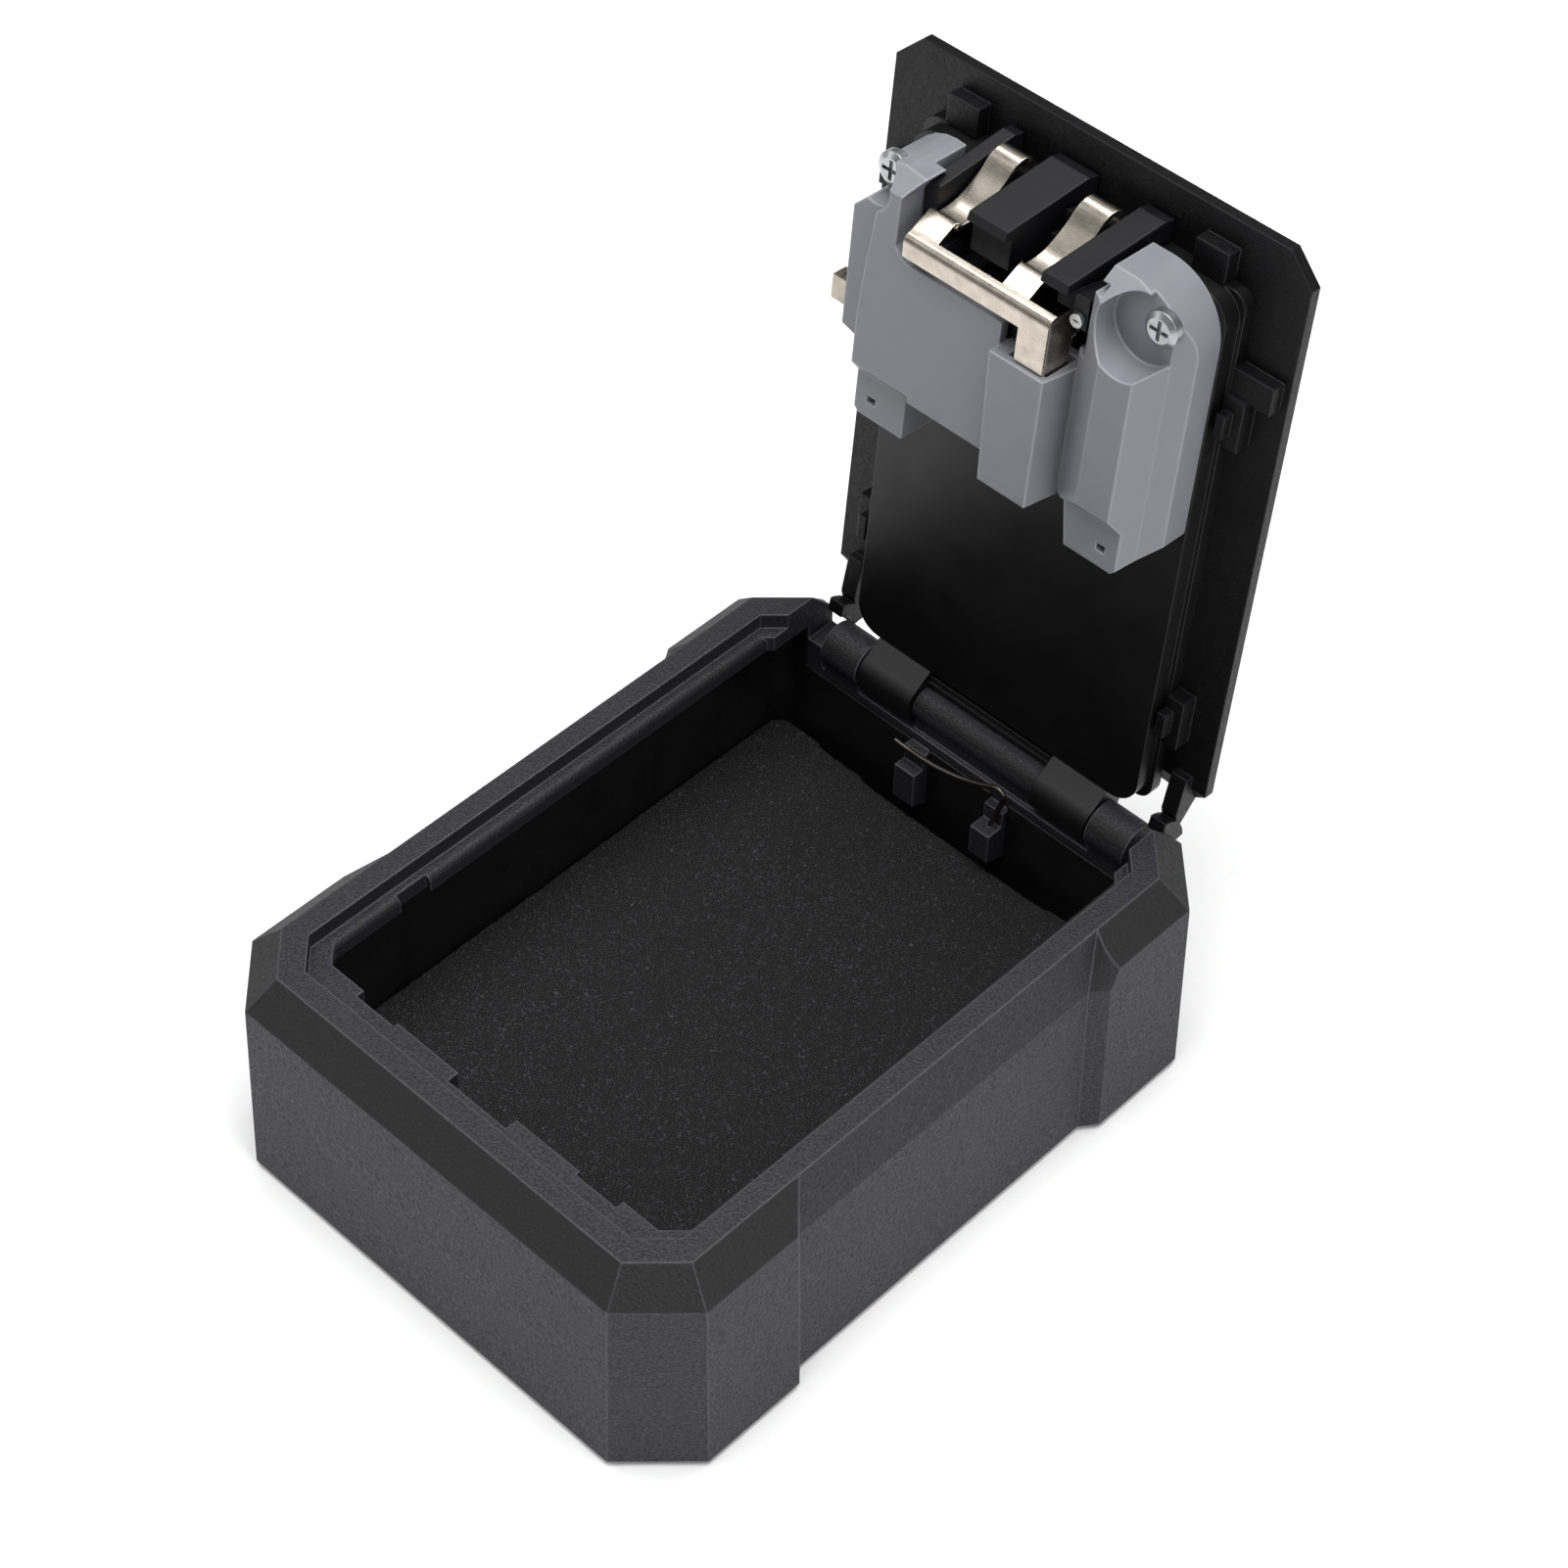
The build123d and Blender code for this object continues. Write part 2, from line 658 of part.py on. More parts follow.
with BuildPart() as lid_frame:
    frame_half = frame_w / 2
    for grow, height, radius in ((foot_grow, foot_h, foot_round), (0, frame_t, frame_round)):
        with BuildSketch(lid_in):
            with Locations((0, (frame_from + frame_to) / 2)):
                RectangleRounded(frame_w + 2 * grow, frame_to - frame_from, radius)
        extrude(amount=height)
    with BuildSketch(lid_in):
        with Locations((0, (frame_from + frame_to) / 2)):
            RectangleRounded(
                frame_w - 2 * frame_skin, frame_to - frame_from - 2 * frame_skin, frame_round - frame_skin
            )
    extrude(amount=frame_t - frame_skin, mode=Mode.SUBTRACT)

    # walls round the dial window, ears for the shaft, bosses for the housing screws
    block(
        lid_in,
        (-ear_x[1], window_v[0] - window_rim, shield_t + fit),
        (ear_x[1], slot_v[1] + window_rim, frame_t),
    )
    for side in (-1, 1):
        x_from, x_to = sorted((side * ear_x[0], side * ear_x[1]))
        block(lid_in, (x_from, dial_v - ear_half, frame_t), (x_to, dial_v + ear_half, ear_w))
        rod(Plane(lid_in.from_local_coords((side * boss_at[0], boss_at[1], 0)), z_dir=w_dir), boss_r, frame_t)
        screw_hole = Plane(lid_in.from_local_coords((side * screw_x, screw_v, -fit)), z_dir=w_dir)
        rod(screw_hole, screw_r, frame_t + 2 * fit, mode=Mode.SUBTRACT)
        block(lid_in, (side * pad_x - 2, pad_v - 4, 0), (side * pad_x + 2, pad_v + 4, frame_t))
    block(
        lid_in, (-ear_x[0], window_v[0], -fit), (ear_x[0], window_v[1], ear_w + fit), mode=Mode.SUBTRACT
    )
    block(lid_in, (-slot_half, slot_v[0], -fit), (slot_half, slot_v[1], frame_t + fit), mode=Mode.SUBTRACT)
    rod(
        Plane(lid_in.from_local_coords((-ear_x[1], dial_v, dial_depth)), z_dir=(1, 0, 0)),
        shaft_r,
        2 * ear_x[1],
        mode=Mode.SUBTRACT,
    )

    # hinge knuckles
    for x_from, x_to in ((-lid_knuckle[1], -lid_knuckle[0]), lid_knuckle):
        with BuildSketch(lid_side(x_from)):
            with Locations((0, plate_n)):
                Circle(knuckle_r)
            with BuildLine():
                Polyline(
                    (-2 * hinge_gap, plate_n - knuckle_r + web_low),
                    (frame_from, web_low),
                    (frame_from + frame_skin, web_low),
                    (frame_from + frame_skin, frame_t),
                    (frame_from, frame_t),
                    (web_top, plate_n + pin_r * 2),
                    (0, plate_n),
                    close=True,
                )
            make_face()
            with Locations((0, plate_n)):
                Circle(pin_r + pin_play, mode=Mode.SUBTRACT)
        extrude(amount=x_to - x_from)
    with BuildSketch(lid_side(-lid_knuckle[1])):
        with BuildLine():
            lip_v = frame_from - frame_lip
            Polyline(
                (frame_from + frame_skin, frame_skin),
                (frame_from + frame_skin, frame_t - lip_groove),
                (lip_v + lip_groove, frame_t - lip_groove),
                (lip_v + lip_groove, frame_t),
                (lip_v, frame_t),
                (lip_v, frame_t - frame_skin),
                (frame_from, frame_skin),
                close=True,
            )
        make_face()
    extrude(amount=2 * lid_knuckle[1])
save(lid_frame, "lid_frame")

with BuildPart() as lid_shield:
    with BuildSketch(lid_in.offset(fit / 2)):
        with Locations((0, (frame_from + frame_to) / 2)):
            RectangleRounded(
                frame_w - 2 * frame_skin - 2 * fit, frame_to - frame_from - 2 * frame_skin - 2 * fit, 3.0
            )
        with Locations((0, (window_v[0] + slot_v[1]) / 2)):
            Rectangle(2 * ear_x[0], slot_v[1] - window_v[0], mode=Mode.SUBTRACT)
        for side in (-1, 1):
            with Locations((side * boss_at[0], boss_at[1])):
                Circle(boss_r + fit, mode=Mode.SUBTRACT)
            with Locations((side * pad_x, pad_v)):
                Rectangle(4 + 2 * fit, 8 + 2 * fit, mode=Mode.SUBTRACT)
    extrude(amount=shield_t)
save(lid_shield, "lid_shield")

# ---- dials, sleeves and shaft ------------------------------------------------------
shaft_plane = Plane(lid_in.from_local_coords((-ear_x[1], dial_v, dial_depth)), x_dir=v_dir, z_dir=(1, 0, 0))
with BuildPart() as dial_shaft:
    rod(shaft_plane, shaft_r, 2 * ear_x[1])
save(dial_shaft, "dial_shaft")

for number, x in enumerate(dial_x, start=1):
    axis_plane = Plane(
        lid_in.from_local_coords((x - dial_w / 2, dial_v, dial_depth)), x_dir=v_dir, z_dir=(1, 0, 0)
    )
    with BuildPart() as dial:
        with BuildSketch(axis_plane):
            Circle(dial_r)
            with PolarLocations(dial_r + dial_notch / 5, 10):
                Rectangle(dial_notch, dial_notch, rotation=45, mode=Mode.SUBTRACT)
            Circle(sleeve_r, mode=Mode.SUBTRACT)
        extrude(amount=dial_w)
    save(dial, f"dial_{number}")
    with BuildPart() as sleeve:
        sleeve_w = dial_pitch - dial_play / 2
        with BuildSketch(axis_plane.offset((dial_w - sleeve_w) / 2)):
            Circle(sleeve_r)
            Circle(shaft_r + pin_play, mode=Mode.SUBTRACT)
        extrude(amount=sleeve_w)
        with BuildSketch(axis_plane.offset((dial_w - sleeve_w) / 2)):
            with Locations((sleeve_r, 0)):
                Rectangle(1.0, 1.4)
        extrude(amount=(sleeve_w - dial_w) / 2, mode=Mode.SUBTRACT)
    save(sleeve, f"code_sleeve_{number}")

leaf_t = 0.4
leaf_foot = 2.3
leaf_rise = 3.6
leaf_side = 2.6          # the leaves reach this far beyond the outer dials' middles
leaf_slit = 2.4
leaf_gap = 0.8
with BuildPart() as detent_spring:
    spring_v = dial_v + dial_r + leaf_gap
    with BuildSketch(lid_side(dial_x[0] - leaf_side)):
        with BuildLine():
            Polyline(
                (spring_v + leaf_foot, frame_t),
                (spring_v, frame_t),
                (spring_v - leaf_foot, frame_t + leaf_rise),
                (spring_v - leaf_foot + leaf_t, frame_t + leaf_rise + leaf_t),
                (spring_v + leaf_t, frame_t + leaf_t),
                (spring_v + leaf_foot, frame_t + leaf_t),
                close=True,
            )
        make_face()
    extrude(amount=dial_x[-1] - dial_x[0] + 2 * leaf_side)
    for left, right in zip(dial_x, dial_x[1:]):
        block(
            lid_in,
            ((left + right - leaf_slit) / 2, spring_v - 2 * leaf_foot, frame_t + 2 * leaf_t),
            ((left + right + leaf_slit) / 2, spring_v + leaf_foot, frame_t + 2 * leaf_rise),
            mode=Mode.SUBTRACT,
        )
save(detent_spring, "detent_spring")

# ---- lock housing ------------------------------------------------------------------
with BuildPart() as lock_housing:
    # one cross-section runs the whole height: folded sides, flat fronts, a groove beside
    # the tower, and the right lobe that slopes up from its rib
    tower_mid = (tower[0] + tower[1]) / 2
    with BuildSketch(lid_cross(cover_top)):
        with BuildLine():
            Polyline(
                (-cover_half, frame_t),
                (-cover_half, rim_w),
                (-fold_x, recess_w),
                (-ridge_x, cover_front),
                (tower_mid, cover_front),
                (tower_mid, valley_w),
                (rib_x, valley_w),
                (rib_x, valley_w + rib_h),
                (cover_half - crest_in, cover_front),
                (ridge_x, cover_front),
                (fold_x, recess_w),
                (cover_half, rim_w),
                (cover_half, frame_t),
                close=True,
            )
        make_face()
    extrude(amount=cover_top - cover_leg)

    # box round the reset lever, on the left side
    box_low = cover_top - lever_box[0]
    box_top = cover_top - lever_box[1]
    prism(
        lid_in.offset(rim_w),
        [
            (-cover_half, box_low + fold_in / 2),
            (-ridge_x, box_low),
            (-ridge_x, box_top),
            (-fold_x, box_top),
            (-cover_half, box_top - fold_in),
        ],
        lever_box_w - rim_w,
    )

    # outline seen from the front, with two legs below and round upper corners
    shoulder_v = cover_top - cover_round
    with BuildSketch(lid_in):
        with BuildLine():
            Polyline(
                (-cover_half, shoulder_v),
                (-cover_half, cover_leg + side_slope),
                (-ridge_x, cover_leg),
                (-leg_x, cover_leg),
                (-leg_x, cover_mid),
                (tower_mid, cover_mid),
                (rib_x, cover_mid - side_slope / 2),
                (leg_x - fold_in / 2, cover_mid - side_slope / 2),
                (leg_x, cover_leg),
                (ridge_x, cover_leg),
                (cover_half, cover_leg + side_slope),
                (cover_half, shoulder_v),
            )
            RadiusArc((cover_half, shoulder_v), (cover_half - cover_round, cover_top), -cover_round)
            Line((cover_half - cover_round, cover_top), (cover_round - cover_half, cover_top))
            RadiusArc((cover_round - cover_half, cover_top), (-cover_half, shoulder_v), -cover_round)
        make_face()
    extrude(amount=cover_front + fit, mode=Mode.INTERSECT)

    # spring tower, a little wider at its top and at its back
    for_loft = ((tower_top, 0), (tower_low, tower_slant))
    with BuildPart(mode=Mode.PRIVATE) as spring_tower:
        for v, slant in for_loft:
            with BuildSketch(lid_cross(v)):
                with BuildLine():
                    Polyline(
                        (tower[0] + slant, frame_t),
                        (tower[0] + slant, tower_front),
                        (tower[1] - tower_draft, tower_front),
                        (tower[1], valley_w),
                        (tower[1], frame_t),
                        close=True,
                    )
                make_face()
        loft(ruled=True)
    add(spring_tower.part)

    # the legs lie behind the lobes' fronts, and the lobes' upper ends slope back
    slopes = (
        [
            (cover_leg - fit, cover_front + fit),
            (cover_leg - fit, leg_front),
            (cover_leg + leg_step[0], leg_front),
            (cover_leg + leg_step[1], cover_front + fit),
        ],
        [
            (cover_top - top_slope, cover_front + fit),
            (cover_top - top_slope, cover_front),
            (cover_top + fit, recess_w),
            (cover_top + fit, cover_front + fit),
        ],
    )
    for side in (-1, 1):
        x_from = min(side * (leg_x - fold_in), side * (cover_half + fit))
        for outline in slopes:
            with BuildSketch(lid_side(x_from)):
                with BuildLine():
                    Polyline(*outline, close=True)
                make_face()
            extrude(amount=leg_in + fold_in + fit, mode=Mode.SUBTRACT)

    # the main front ends in a curved step beside the lever's box
    with BuildSketch(lid_in.offset(lever_box_w)):
        with BuildLine():
            ThreePointArc(
                (-ridge_x - fit, box_low + fold_in),
                (-ridge_x + fold_in / 3, (box_low + cover_top) / 2),
                (sweep_top - cover_half, cover_top + fit),
            )
            Polyline(
                (sweep_top - cover_half, cover_top + fit),
                (-cover_half - fit, cover_top + fit),
                (-cover_half - fit, box_low + fold_in),
                (-ridge_x - fit, box_low + fold_in),
            )
        make_face()
    extrude(amount=cover_front, mode=Mode.SUBTRACT)

    # opening between the lobes, where the latch comes out
    open_left = bar_from - 2 * fit
    open_right = guide_walls[-1][1] + fit
    sweep_low = bar_top + latch_travel + fit
    with BuildSketch(lid_in):
        with BuildLine():
            Polyline(
                (open_left + open_sweep, cover_top + fit),
                (open_right + 2 * fit, cover_top + fit),
                (open_right, bar_top),
                (open_right, opening_low),
                (tower[1], opening_low),
                (tower[1], tower_top),
                (tower[0], tower_top),
                (tower[0], opening_low),
                (open_left + open_corner, opening_low),
                (open_left, opening_low + open_corner),
                (open_left, sweep_low),
            )
            Spline(
                (open_left, sweep_low),
                (open_left + open_sweep / 3, (sweep_low + cover_top) / 2),
                (open_left + open_sweep, cover_top + fit),
            )
        make_face()
    extrude(amount=tower_front + fit, mode=Mode.SUBTRACT)

    # round screw recesses, open to the outside, with the screws' holes
    for side, (across, down, radius) in ((-1, recess_left), (1, recess_right)):
        middle_x = cover_half - across
        middle_v = cover_top - down
        side_x = cover_half + fit
        with BuildSketch(lid_in.offset(recess_w)):
            with Locations((side * middle_x, middle_v)):
                Circle(radius)
            with BuildLine():
                Polyline(
                    (side * middle_x, middle_v + radius * cos(lobe_turn)),
                    (side * (middle_x + fold_in), cover_top + fit),
                    (side * side_x, cover_top + fit),
                    (side * side_x, middle_v - radius * sin(lobe_turn)),
                    (side * (middle_x + radius * cos(lobe_turn)), middle_v - radius * sin(lobe_turn)),
                    close=True,
                )
            make_face()
        extrude(amount=tower_front - recess_w, mode=Mode.SUBTRACT)
        seat = lid_in.from_local_coords((side * screw_x, screw_v, recess_w))
        with Locations(Plane(seat, x_dir=(1, 0, 0), z_dir=w_dir).location):
            Hole(screw_r + fit)

    # small moulding holes in the right lobe's upper end and in both legs
    mark_l, mark_h = mark_size
    for x, v, w in (
        (rib_x + mark_in, cover_top - mark_in, recess_w + mark_h / 2),
        (ridge_x - mark_in, cover_leg + 2 * cover_wall, leg_front - cover_wall - fit),
        (mark_in - ridge_x, cover_leg + 2 * cover_wall, leg_front - cover_wall - fit),
    ):
        block(
            lid_in,
            (x - mark_l / 2, v - mark_h / 2, w),
            (x + mark_l / 2, v + mark_h / 2, cover_front),
            mode=Mode.SUBTRACT,
        )

    # rooms behind the front face: lock room, dial room, spring pocket and hollow lobes
    inner = cover_front - cover_wall
    leg_inner = leg_front - cover_wall
    room_low = cover_mid + cover_wall
    leg_low = cover_leg + cover_wall
    room_left = 2 * cover_wall - ridge_x
    rooms = (
        ((room_left, room_low, frame_t), (tower[0], opening_low + fit, inner)),
        (
            (tower[0] - fit, room_low, frame_t),
            (ear_x[1] + fit, opening_low + fit, pocket_w[0] - pocket_skin),
        ),
        ((pocket_x[0], pocket_low, pocket_w[0]), (pocket_x[1], tower_top + fit, pocket_w[1])),
        ((leg_x + cover_wall, leg_low, frame_t), (ridge_x - fit, opening_low, leg_inner)),
        ((cover_wall - ridge_x, leg_low, frame_t), (-leg_x - cover_wall, room_low + fit, leg_inner)),
    )
    for low, high in rooms:
        block(lid_in, low, high, mode=Mode.SUBTRACT)
    block(
        lid_in,
        (-cover_half - fit, lever_v[0] - 2 * fit, lever_w - lever_room[0]),
        (room_left + fit, lever_v[1] + lever_travel + 2 * fit, lever_w + lever_room[1]),
        mode=Mode.SUBTRACT,
    )
save(lock_housing, "lock_housing")

screw_head_r = 3.1
screw_head_t = 2.1
screw_l = recess_w - shield_t - cover_wall
cross_half = 1.8         # half the length of a cross recess, and half its width
cross_t = 0.35
with BuildPart() as housing_screws:
    for side in (-1, 1):
        seat = lid_in.from_local_coords((side * screw_x, screw_v, recess_w))
        face = Plane(seat, x_dir=(1, 0, 0), z_dir=w_dir)
        with BuildSketch(Plane(seat, x_dir=(1, 0, 0), z_dir=v_dir)):
            with BuildLine():
                Polyline(
                    (0, screw_l),
                    (screw_r, screw_l),
                    (screw_r, 0),
                    (screw_head_r, 0),
                    (screw_head_r, -0.7 * screw_head_t),
                    (0.7 * screw_head_r, -screw_head_t),
                    (0, -screw_head_t),
                    close=True,
                )
            make_face()
        revolve(axis=Axis(seat, w_dir))
        for arm_x, arm_v in ((cross_half, cross_t), (cross_t, cross_half)):
            block(
                face,
                (-arm_x, -arm_v, 0.5 * screw_head_t),
                (arm_x, arm_v, screw_head_t + fit),
                mode=Mode.SUBTRACT,
            )
save(housing_screws, "housing_screws")

# ---- latch guide, carriage, latch plate --------------------------------------------
carriage_front = 18.6
guide_screw_at = lid_in.from_local_coords(
    ((screw_boss[0] + guide_walls[-1][1]) / 2, bar_top - fit, screw_boss[1])
)
small_r = 0.6            # shank of the guide's screw and of the carriage's pins
small_l = 3.6
small_head_r = 1.2
small_head_t = 0.9
pin_l = 2.4
pin_head_t = 1.3

with BuildPart() as latch_guide:
    guide_back = frame_t + guide_t
    wall_step = bar_top + latch_travel + 2 * fit
    wall_front = guide_front + guide_rise
    wall_end = tab_edge - guide_end
    block(
        lid_in,
        (guide_walls[0][0], guide_low, frame_t),
        (guide_walls[-1][1], bar_top + guide_rise, guide_back),
    )
    # the left wall stays inside the housing, the other two run on down to the lid plate
    short_foot = [(frame_to - guide_t, frame_t + guide_t), (frame_to - guide_t, frame_t)]
    long_foot = [
        (wall_end, guide_t),
        (wall_end, fit),
        (frame_to + fit, fit),
        (frame_to + fit, frame_t),
    ]
    for (x_from, x_to), foot in zip(guide_walls, (short_foot, long_foot, long_foot)):
        with BuildSketch(lid_side(x_from)):
            with BuildLine():
                Polyline(
                    (wall_low, frame_t),
                    (wall_low, guide_front),
                    (wall_step, guide_front),
                    (wall_step, wall_front),
                    (min(bar_top + guide_top, foot[0][0]), wall_front),
                    *foot,
                    close=True,
                )
            make_face()
        extrude(amount=x_to - x_from)
    block(
        lid_in,
        (screw_boss[0], wall_low, frame_t),
        (guide_walls[-1][1], wall_step, screw_boss[1]),
    )
    block(
        lid_in,
        (-slot_half, slot_v[0], frame_t - fit),
        (slot_half, slot_v[1], guide_back + fit),
        mode=Mode.SUBTRACT,
    )
    with Locations(Plane(guide_screw_at, z_dir=w_dir).location):
        Hole(small_r, depth=small_l + fit)
save(latch_guide, "latch_guide")

with BuildPart() as guide_screw:
    head = Plane(guide_screw_at, x_dir=(1, 0, 0), z_dir=w_dir)
    rod(head, small_head_r, small_head_t)
    rod(head.offset(-small_l), small_r, small_l)
    block(
        head,
        (-small_r, -cross_t / 2, small_head_t / 2),
        (small_r, cross_t / 2, small_head_t + fit),
        mode=Mode.SUBTRACT,
    )
save(guide_screw, "guide_screw")

base_w = guide_back + fit
bridge_top = wall_low - latch_travel - fit
pin_x = (-5.9, -0.9)
pin_w = 17.0
slider_in = 2.1          # the slider's tongue reaches this far into the carriage
with BuildPart() as latch_carriage:
    block(lid_in, (channels[0][0], carriage_low, base_w), (channels[1][1], bridge_top, carriage_front))
    for x_from, x_to in channels:
        block(lid_in, (x_from, carriage_low, base_w), (x_to, bar_top - strip_t, carriage_front))
    block(
        lid_in,
        (-slot_half + fit, slot_v[0] + fit, base_w - fit),
        (slot_half - fit, slot_v[0] + slot_l - latch_travel, base_w + slider_in + fit),
        mode=Mode.SUBTRACT,
    )
    for x in pin_x:
        pin_at = lid_in.from_local_coords((x, bridge_top, pin_w))
        shank = Plane(pin_at, x_dir=(1, 0, 0), z_dir=v_dir * -1)
        rod(shank, small_r, pin_l, mode=Mode.SUBTRACT)
save(latch_carriage, "latch_carriage")

with BuildPart() as carriage_pins:
    for x in pin_x:
        pin_at = lid_in.from_local_coords((x, bridge_top, pin_w))
        rod(Plane(pin_at, x_dir=(1, 0, 0), z_dir=v_dir * -1), small_r, pin_l)
        rod(Plane(pin_at, x_dir=(1, 0, 0), z_dir=v_dir), small_head_r, pin_head_t)
save(carriage_pins, "carriage_pins")

with BuildPart() as latch_plate:
    # bar, top flange, end leg and two root tabs
    bar_to = pocket_x[1] - fit
    bar_back = bar_front - strip_t
    block(lid_in, (bar_from, bar_low, bar_back), (bar_to, bar_top, bar_front))
    block(lid_in, (bar_from, bar_top - strip_t, bar_back - flange_in), (bar_to, bar_top, bar_front))
    block(
        lid_in,
        (bar_to - strip_t, bar_low - leg_drop, root_w),
        (bar_to, bar_top, pocket_w[1] - fit),
    )
    for x_from, x in ((bar_from, finger_x[0]), (-2.6, finger_x[1])):
        block(
            lid_in,
            (x_from, bar_top - strip_t, root_w),
            (x + finger_w / 2, bar_top, bar_back - flange_in + fit),
        )
    # fingers: S-shaped strips that lead back to the lid plate and hook under the catch tabs
    tip_v = tab_edge - finger_reach
    for x in finger_x:
        with BuildSketch(lid_side(x - finger_w / 2)):
            with BuildLine():
                Spline(
                    (bar_top - strip_t / 2, bar_back - strip_t),
                    (bar_top + fit, bar_back - 2 * flange_in),
                    (tip_v - 1.3 * finger_w, tip_w + 1.7 * finger_w),
                    (tip_v - 0.5 * finger_w, tip_w + 0.9 * finger_w),
                    (tip_v - 0.1 * finger_w, tip_w + 0.4 * finger_w),
                    (tip_v, tip_w),
                )
            trace(line_width=strip_t)
        extrude(amount=finger_w)
save(latch_plate, "latch_plate")

# ---- latch spring, open slider, reset lever ----------------------------------------
spring_wire = 0.5
spring_r = 2.3
spring_turns = 4
with BuildPart() as latch_spring:
    spring_l = carriage_low - pocket_low - 2 * fit - spring_wire
    spring_at = lid_in.from_local_coords(
        (
            pocket_x[0] + spring_r + spring_wire / 2 + fit,
            pocket_low + fit + spring_wire / 2,
            (pocket_w[0] + pocket_w[1]) / 2,
        )
    )
    with BuildLine():
        coil = Helix(
            pitch=spring_l / spring_turns,
            height=spring_l,
            radius=spring_r,
            center=spring_at,
            direction=v_dir,
        )
    with BuildSketch(Plane(origin=coil @ 0, z_dir=coil % 0)):
        Rectangle(spring_wire, spring_wire)
    sweep(is_frenet=True)
save(latch_spring, "latch_spring")

knob_w = 22.0
knob_l = 10.4
knob_t = 2.6
knob_over = 2.4          # the knob covers the slot's lower end by this
knob_side = 3.0
grip_t = 0.8
with BuildPart() as open_slider:
    knob_low = slot_v[0] - knob_over
    under = -plate_t + field_t - fit
    with BuildSketch(lid_in.offset(under)):
        with Locations((0, knob_low + knob_l / 2)):
            RectangleRounded(knob_w, knob_l, 2.0)
    extrude(amount=-knob_t)
    chamfer(open_slider.faces().sort_by(Axis(lid_in.origin, w_dir))[0].outer_wire().edges(), 0.6)
    for i in range(4):
        ridge = knob_low + knob_l * (i + 1) / 5 - grip_t / 2
        block(
            lid_in,
            (knob_side - knob_w / 2, ridge, under - knob_t - fit),
            (knob_w / 2 - knob_side, ridge + grip_t, under - knob_t + grip_t),
            mode=Mode.SUBTRACT,
        )
    block(
        lid_in,
        (-slot_half + 2 * fit, slot_v[0] + 2 * fit, under),
        (slot_half - 2 * fit, slot_v[0] + slot_l - latch_travel - fit, base_w + slider_in),
    )
save(open_slider, "open_slider")

lever_foot = 1.6
lever_lip = 1.8
with BuildPart() as reset_lever:
    lever_front = lever_w + strip_t
    stop_x = room_left + fit
    block(lid_in, (-lever_out, lever_v[0], lever_w), (stop_x + strip_t, lever_v[1], lever_front))
    block(
        lid_in,
        (-lever_out, lever_v[0], lever_w - lever_lip),
        (-lever_out + strip_t, lever_v[1], lever_front),
    )
    block(
        lid_in,
        (stop_x, lever_v[0] - lever_foot, lever_w),
        (stop_x + 2 * strip_t, lever_v[1] + lever_foot, lever_front),
    )
save(reset_lever, "reset_lever")
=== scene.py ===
import json
import math

import bmesh
import bpy
from mathutils import Matrix, Vector, noise


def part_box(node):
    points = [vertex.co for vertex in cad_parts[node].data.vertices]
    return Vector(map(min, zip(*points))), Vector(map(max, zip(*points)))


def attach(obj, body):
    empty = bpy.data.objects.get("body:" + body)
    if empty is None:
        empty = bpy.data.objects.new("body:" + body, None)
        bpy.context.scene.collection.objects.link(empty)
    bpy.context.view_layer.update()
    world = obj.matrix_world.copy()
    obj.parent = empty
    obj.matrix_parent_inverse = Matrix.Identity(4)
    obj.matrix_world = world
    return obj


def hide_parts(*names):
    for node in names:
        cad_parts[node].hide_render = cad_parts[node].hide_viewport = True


bl_info = {
    "name": "Shielded key box",
    "version": (1, 0, 0),
    "blender": (4, 5, 0),
    "location": "3D View > Sidebar > Key box",
    "description": "Finishes a wall-mount key box with a combination lid: lock, foam, materials, studio",
    "category": "Object",
}

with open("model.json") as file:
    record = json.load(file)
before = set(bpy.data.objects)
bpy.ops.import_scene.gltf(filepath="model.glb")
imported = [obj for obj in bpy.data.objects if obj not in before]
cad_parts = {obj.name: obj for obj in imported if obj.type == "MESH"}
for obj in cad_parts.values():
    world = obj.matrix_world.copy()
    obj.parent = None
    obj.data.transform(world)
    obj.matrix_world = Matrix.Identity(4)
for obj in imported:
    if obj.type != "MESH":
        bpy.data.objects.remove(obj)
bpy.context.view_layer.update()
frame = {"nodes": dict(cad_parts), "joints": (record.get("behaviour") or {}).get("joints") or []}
NODES = frame["nodes"]

MM = 0.001

# The lid stands open at rest. Places in it are given in mm: x across the lid, v from the hinge
# to the free end, w from the lid plate's inner face into the box.
HINGE = next(joint for joint in frame["joints"] if joint["name"] == "lid_hinge")
AXIS = Vector(HINGE["pos_m"])
OPEN_ANGLE = math.radians(HINGE["range_deg"][1])
V_DIR = Vector((0, -math.cos(OPEN_ANGLE), math.sin(OPEN_ANGLE)))
W_DIR = Vector((0, -math.sin(OPEN_ANGLE), -math.cos(OPEN_ANGLE)))
PLATE_INNER = -6.7 * MM  # the plate's inner face, along W_DIR from the hinge axis


# ---- places and forms -----------------------------------------------------------------


def in_lid(x, v, w):
    """The point at a place in the lid."""
    return AXIS + Vector((x * MM, 0, 0)) + V_DIR * (v * MM) + W_DIR * (w * MM + PLATE_INNER)


def place_in_lid(point):
    """The place in the lid of a point."""
    away = point - AXIS
    return point.x / MM, away.dot(V_DIR) / MM, (away.dot(W_DIR) - PLATE_INNER) / MM


def draw_out(form, face, way):
    """Draws a face out into a solid."""
    drawn = bmesh.ops.extrude_face_region(form, geom=[face])["geom"]
    far = [item for item in drawn if isinstance(item, bmesh.types.BMVert)]
    bmesh.ops.translate(form, verts=far, vec=way)


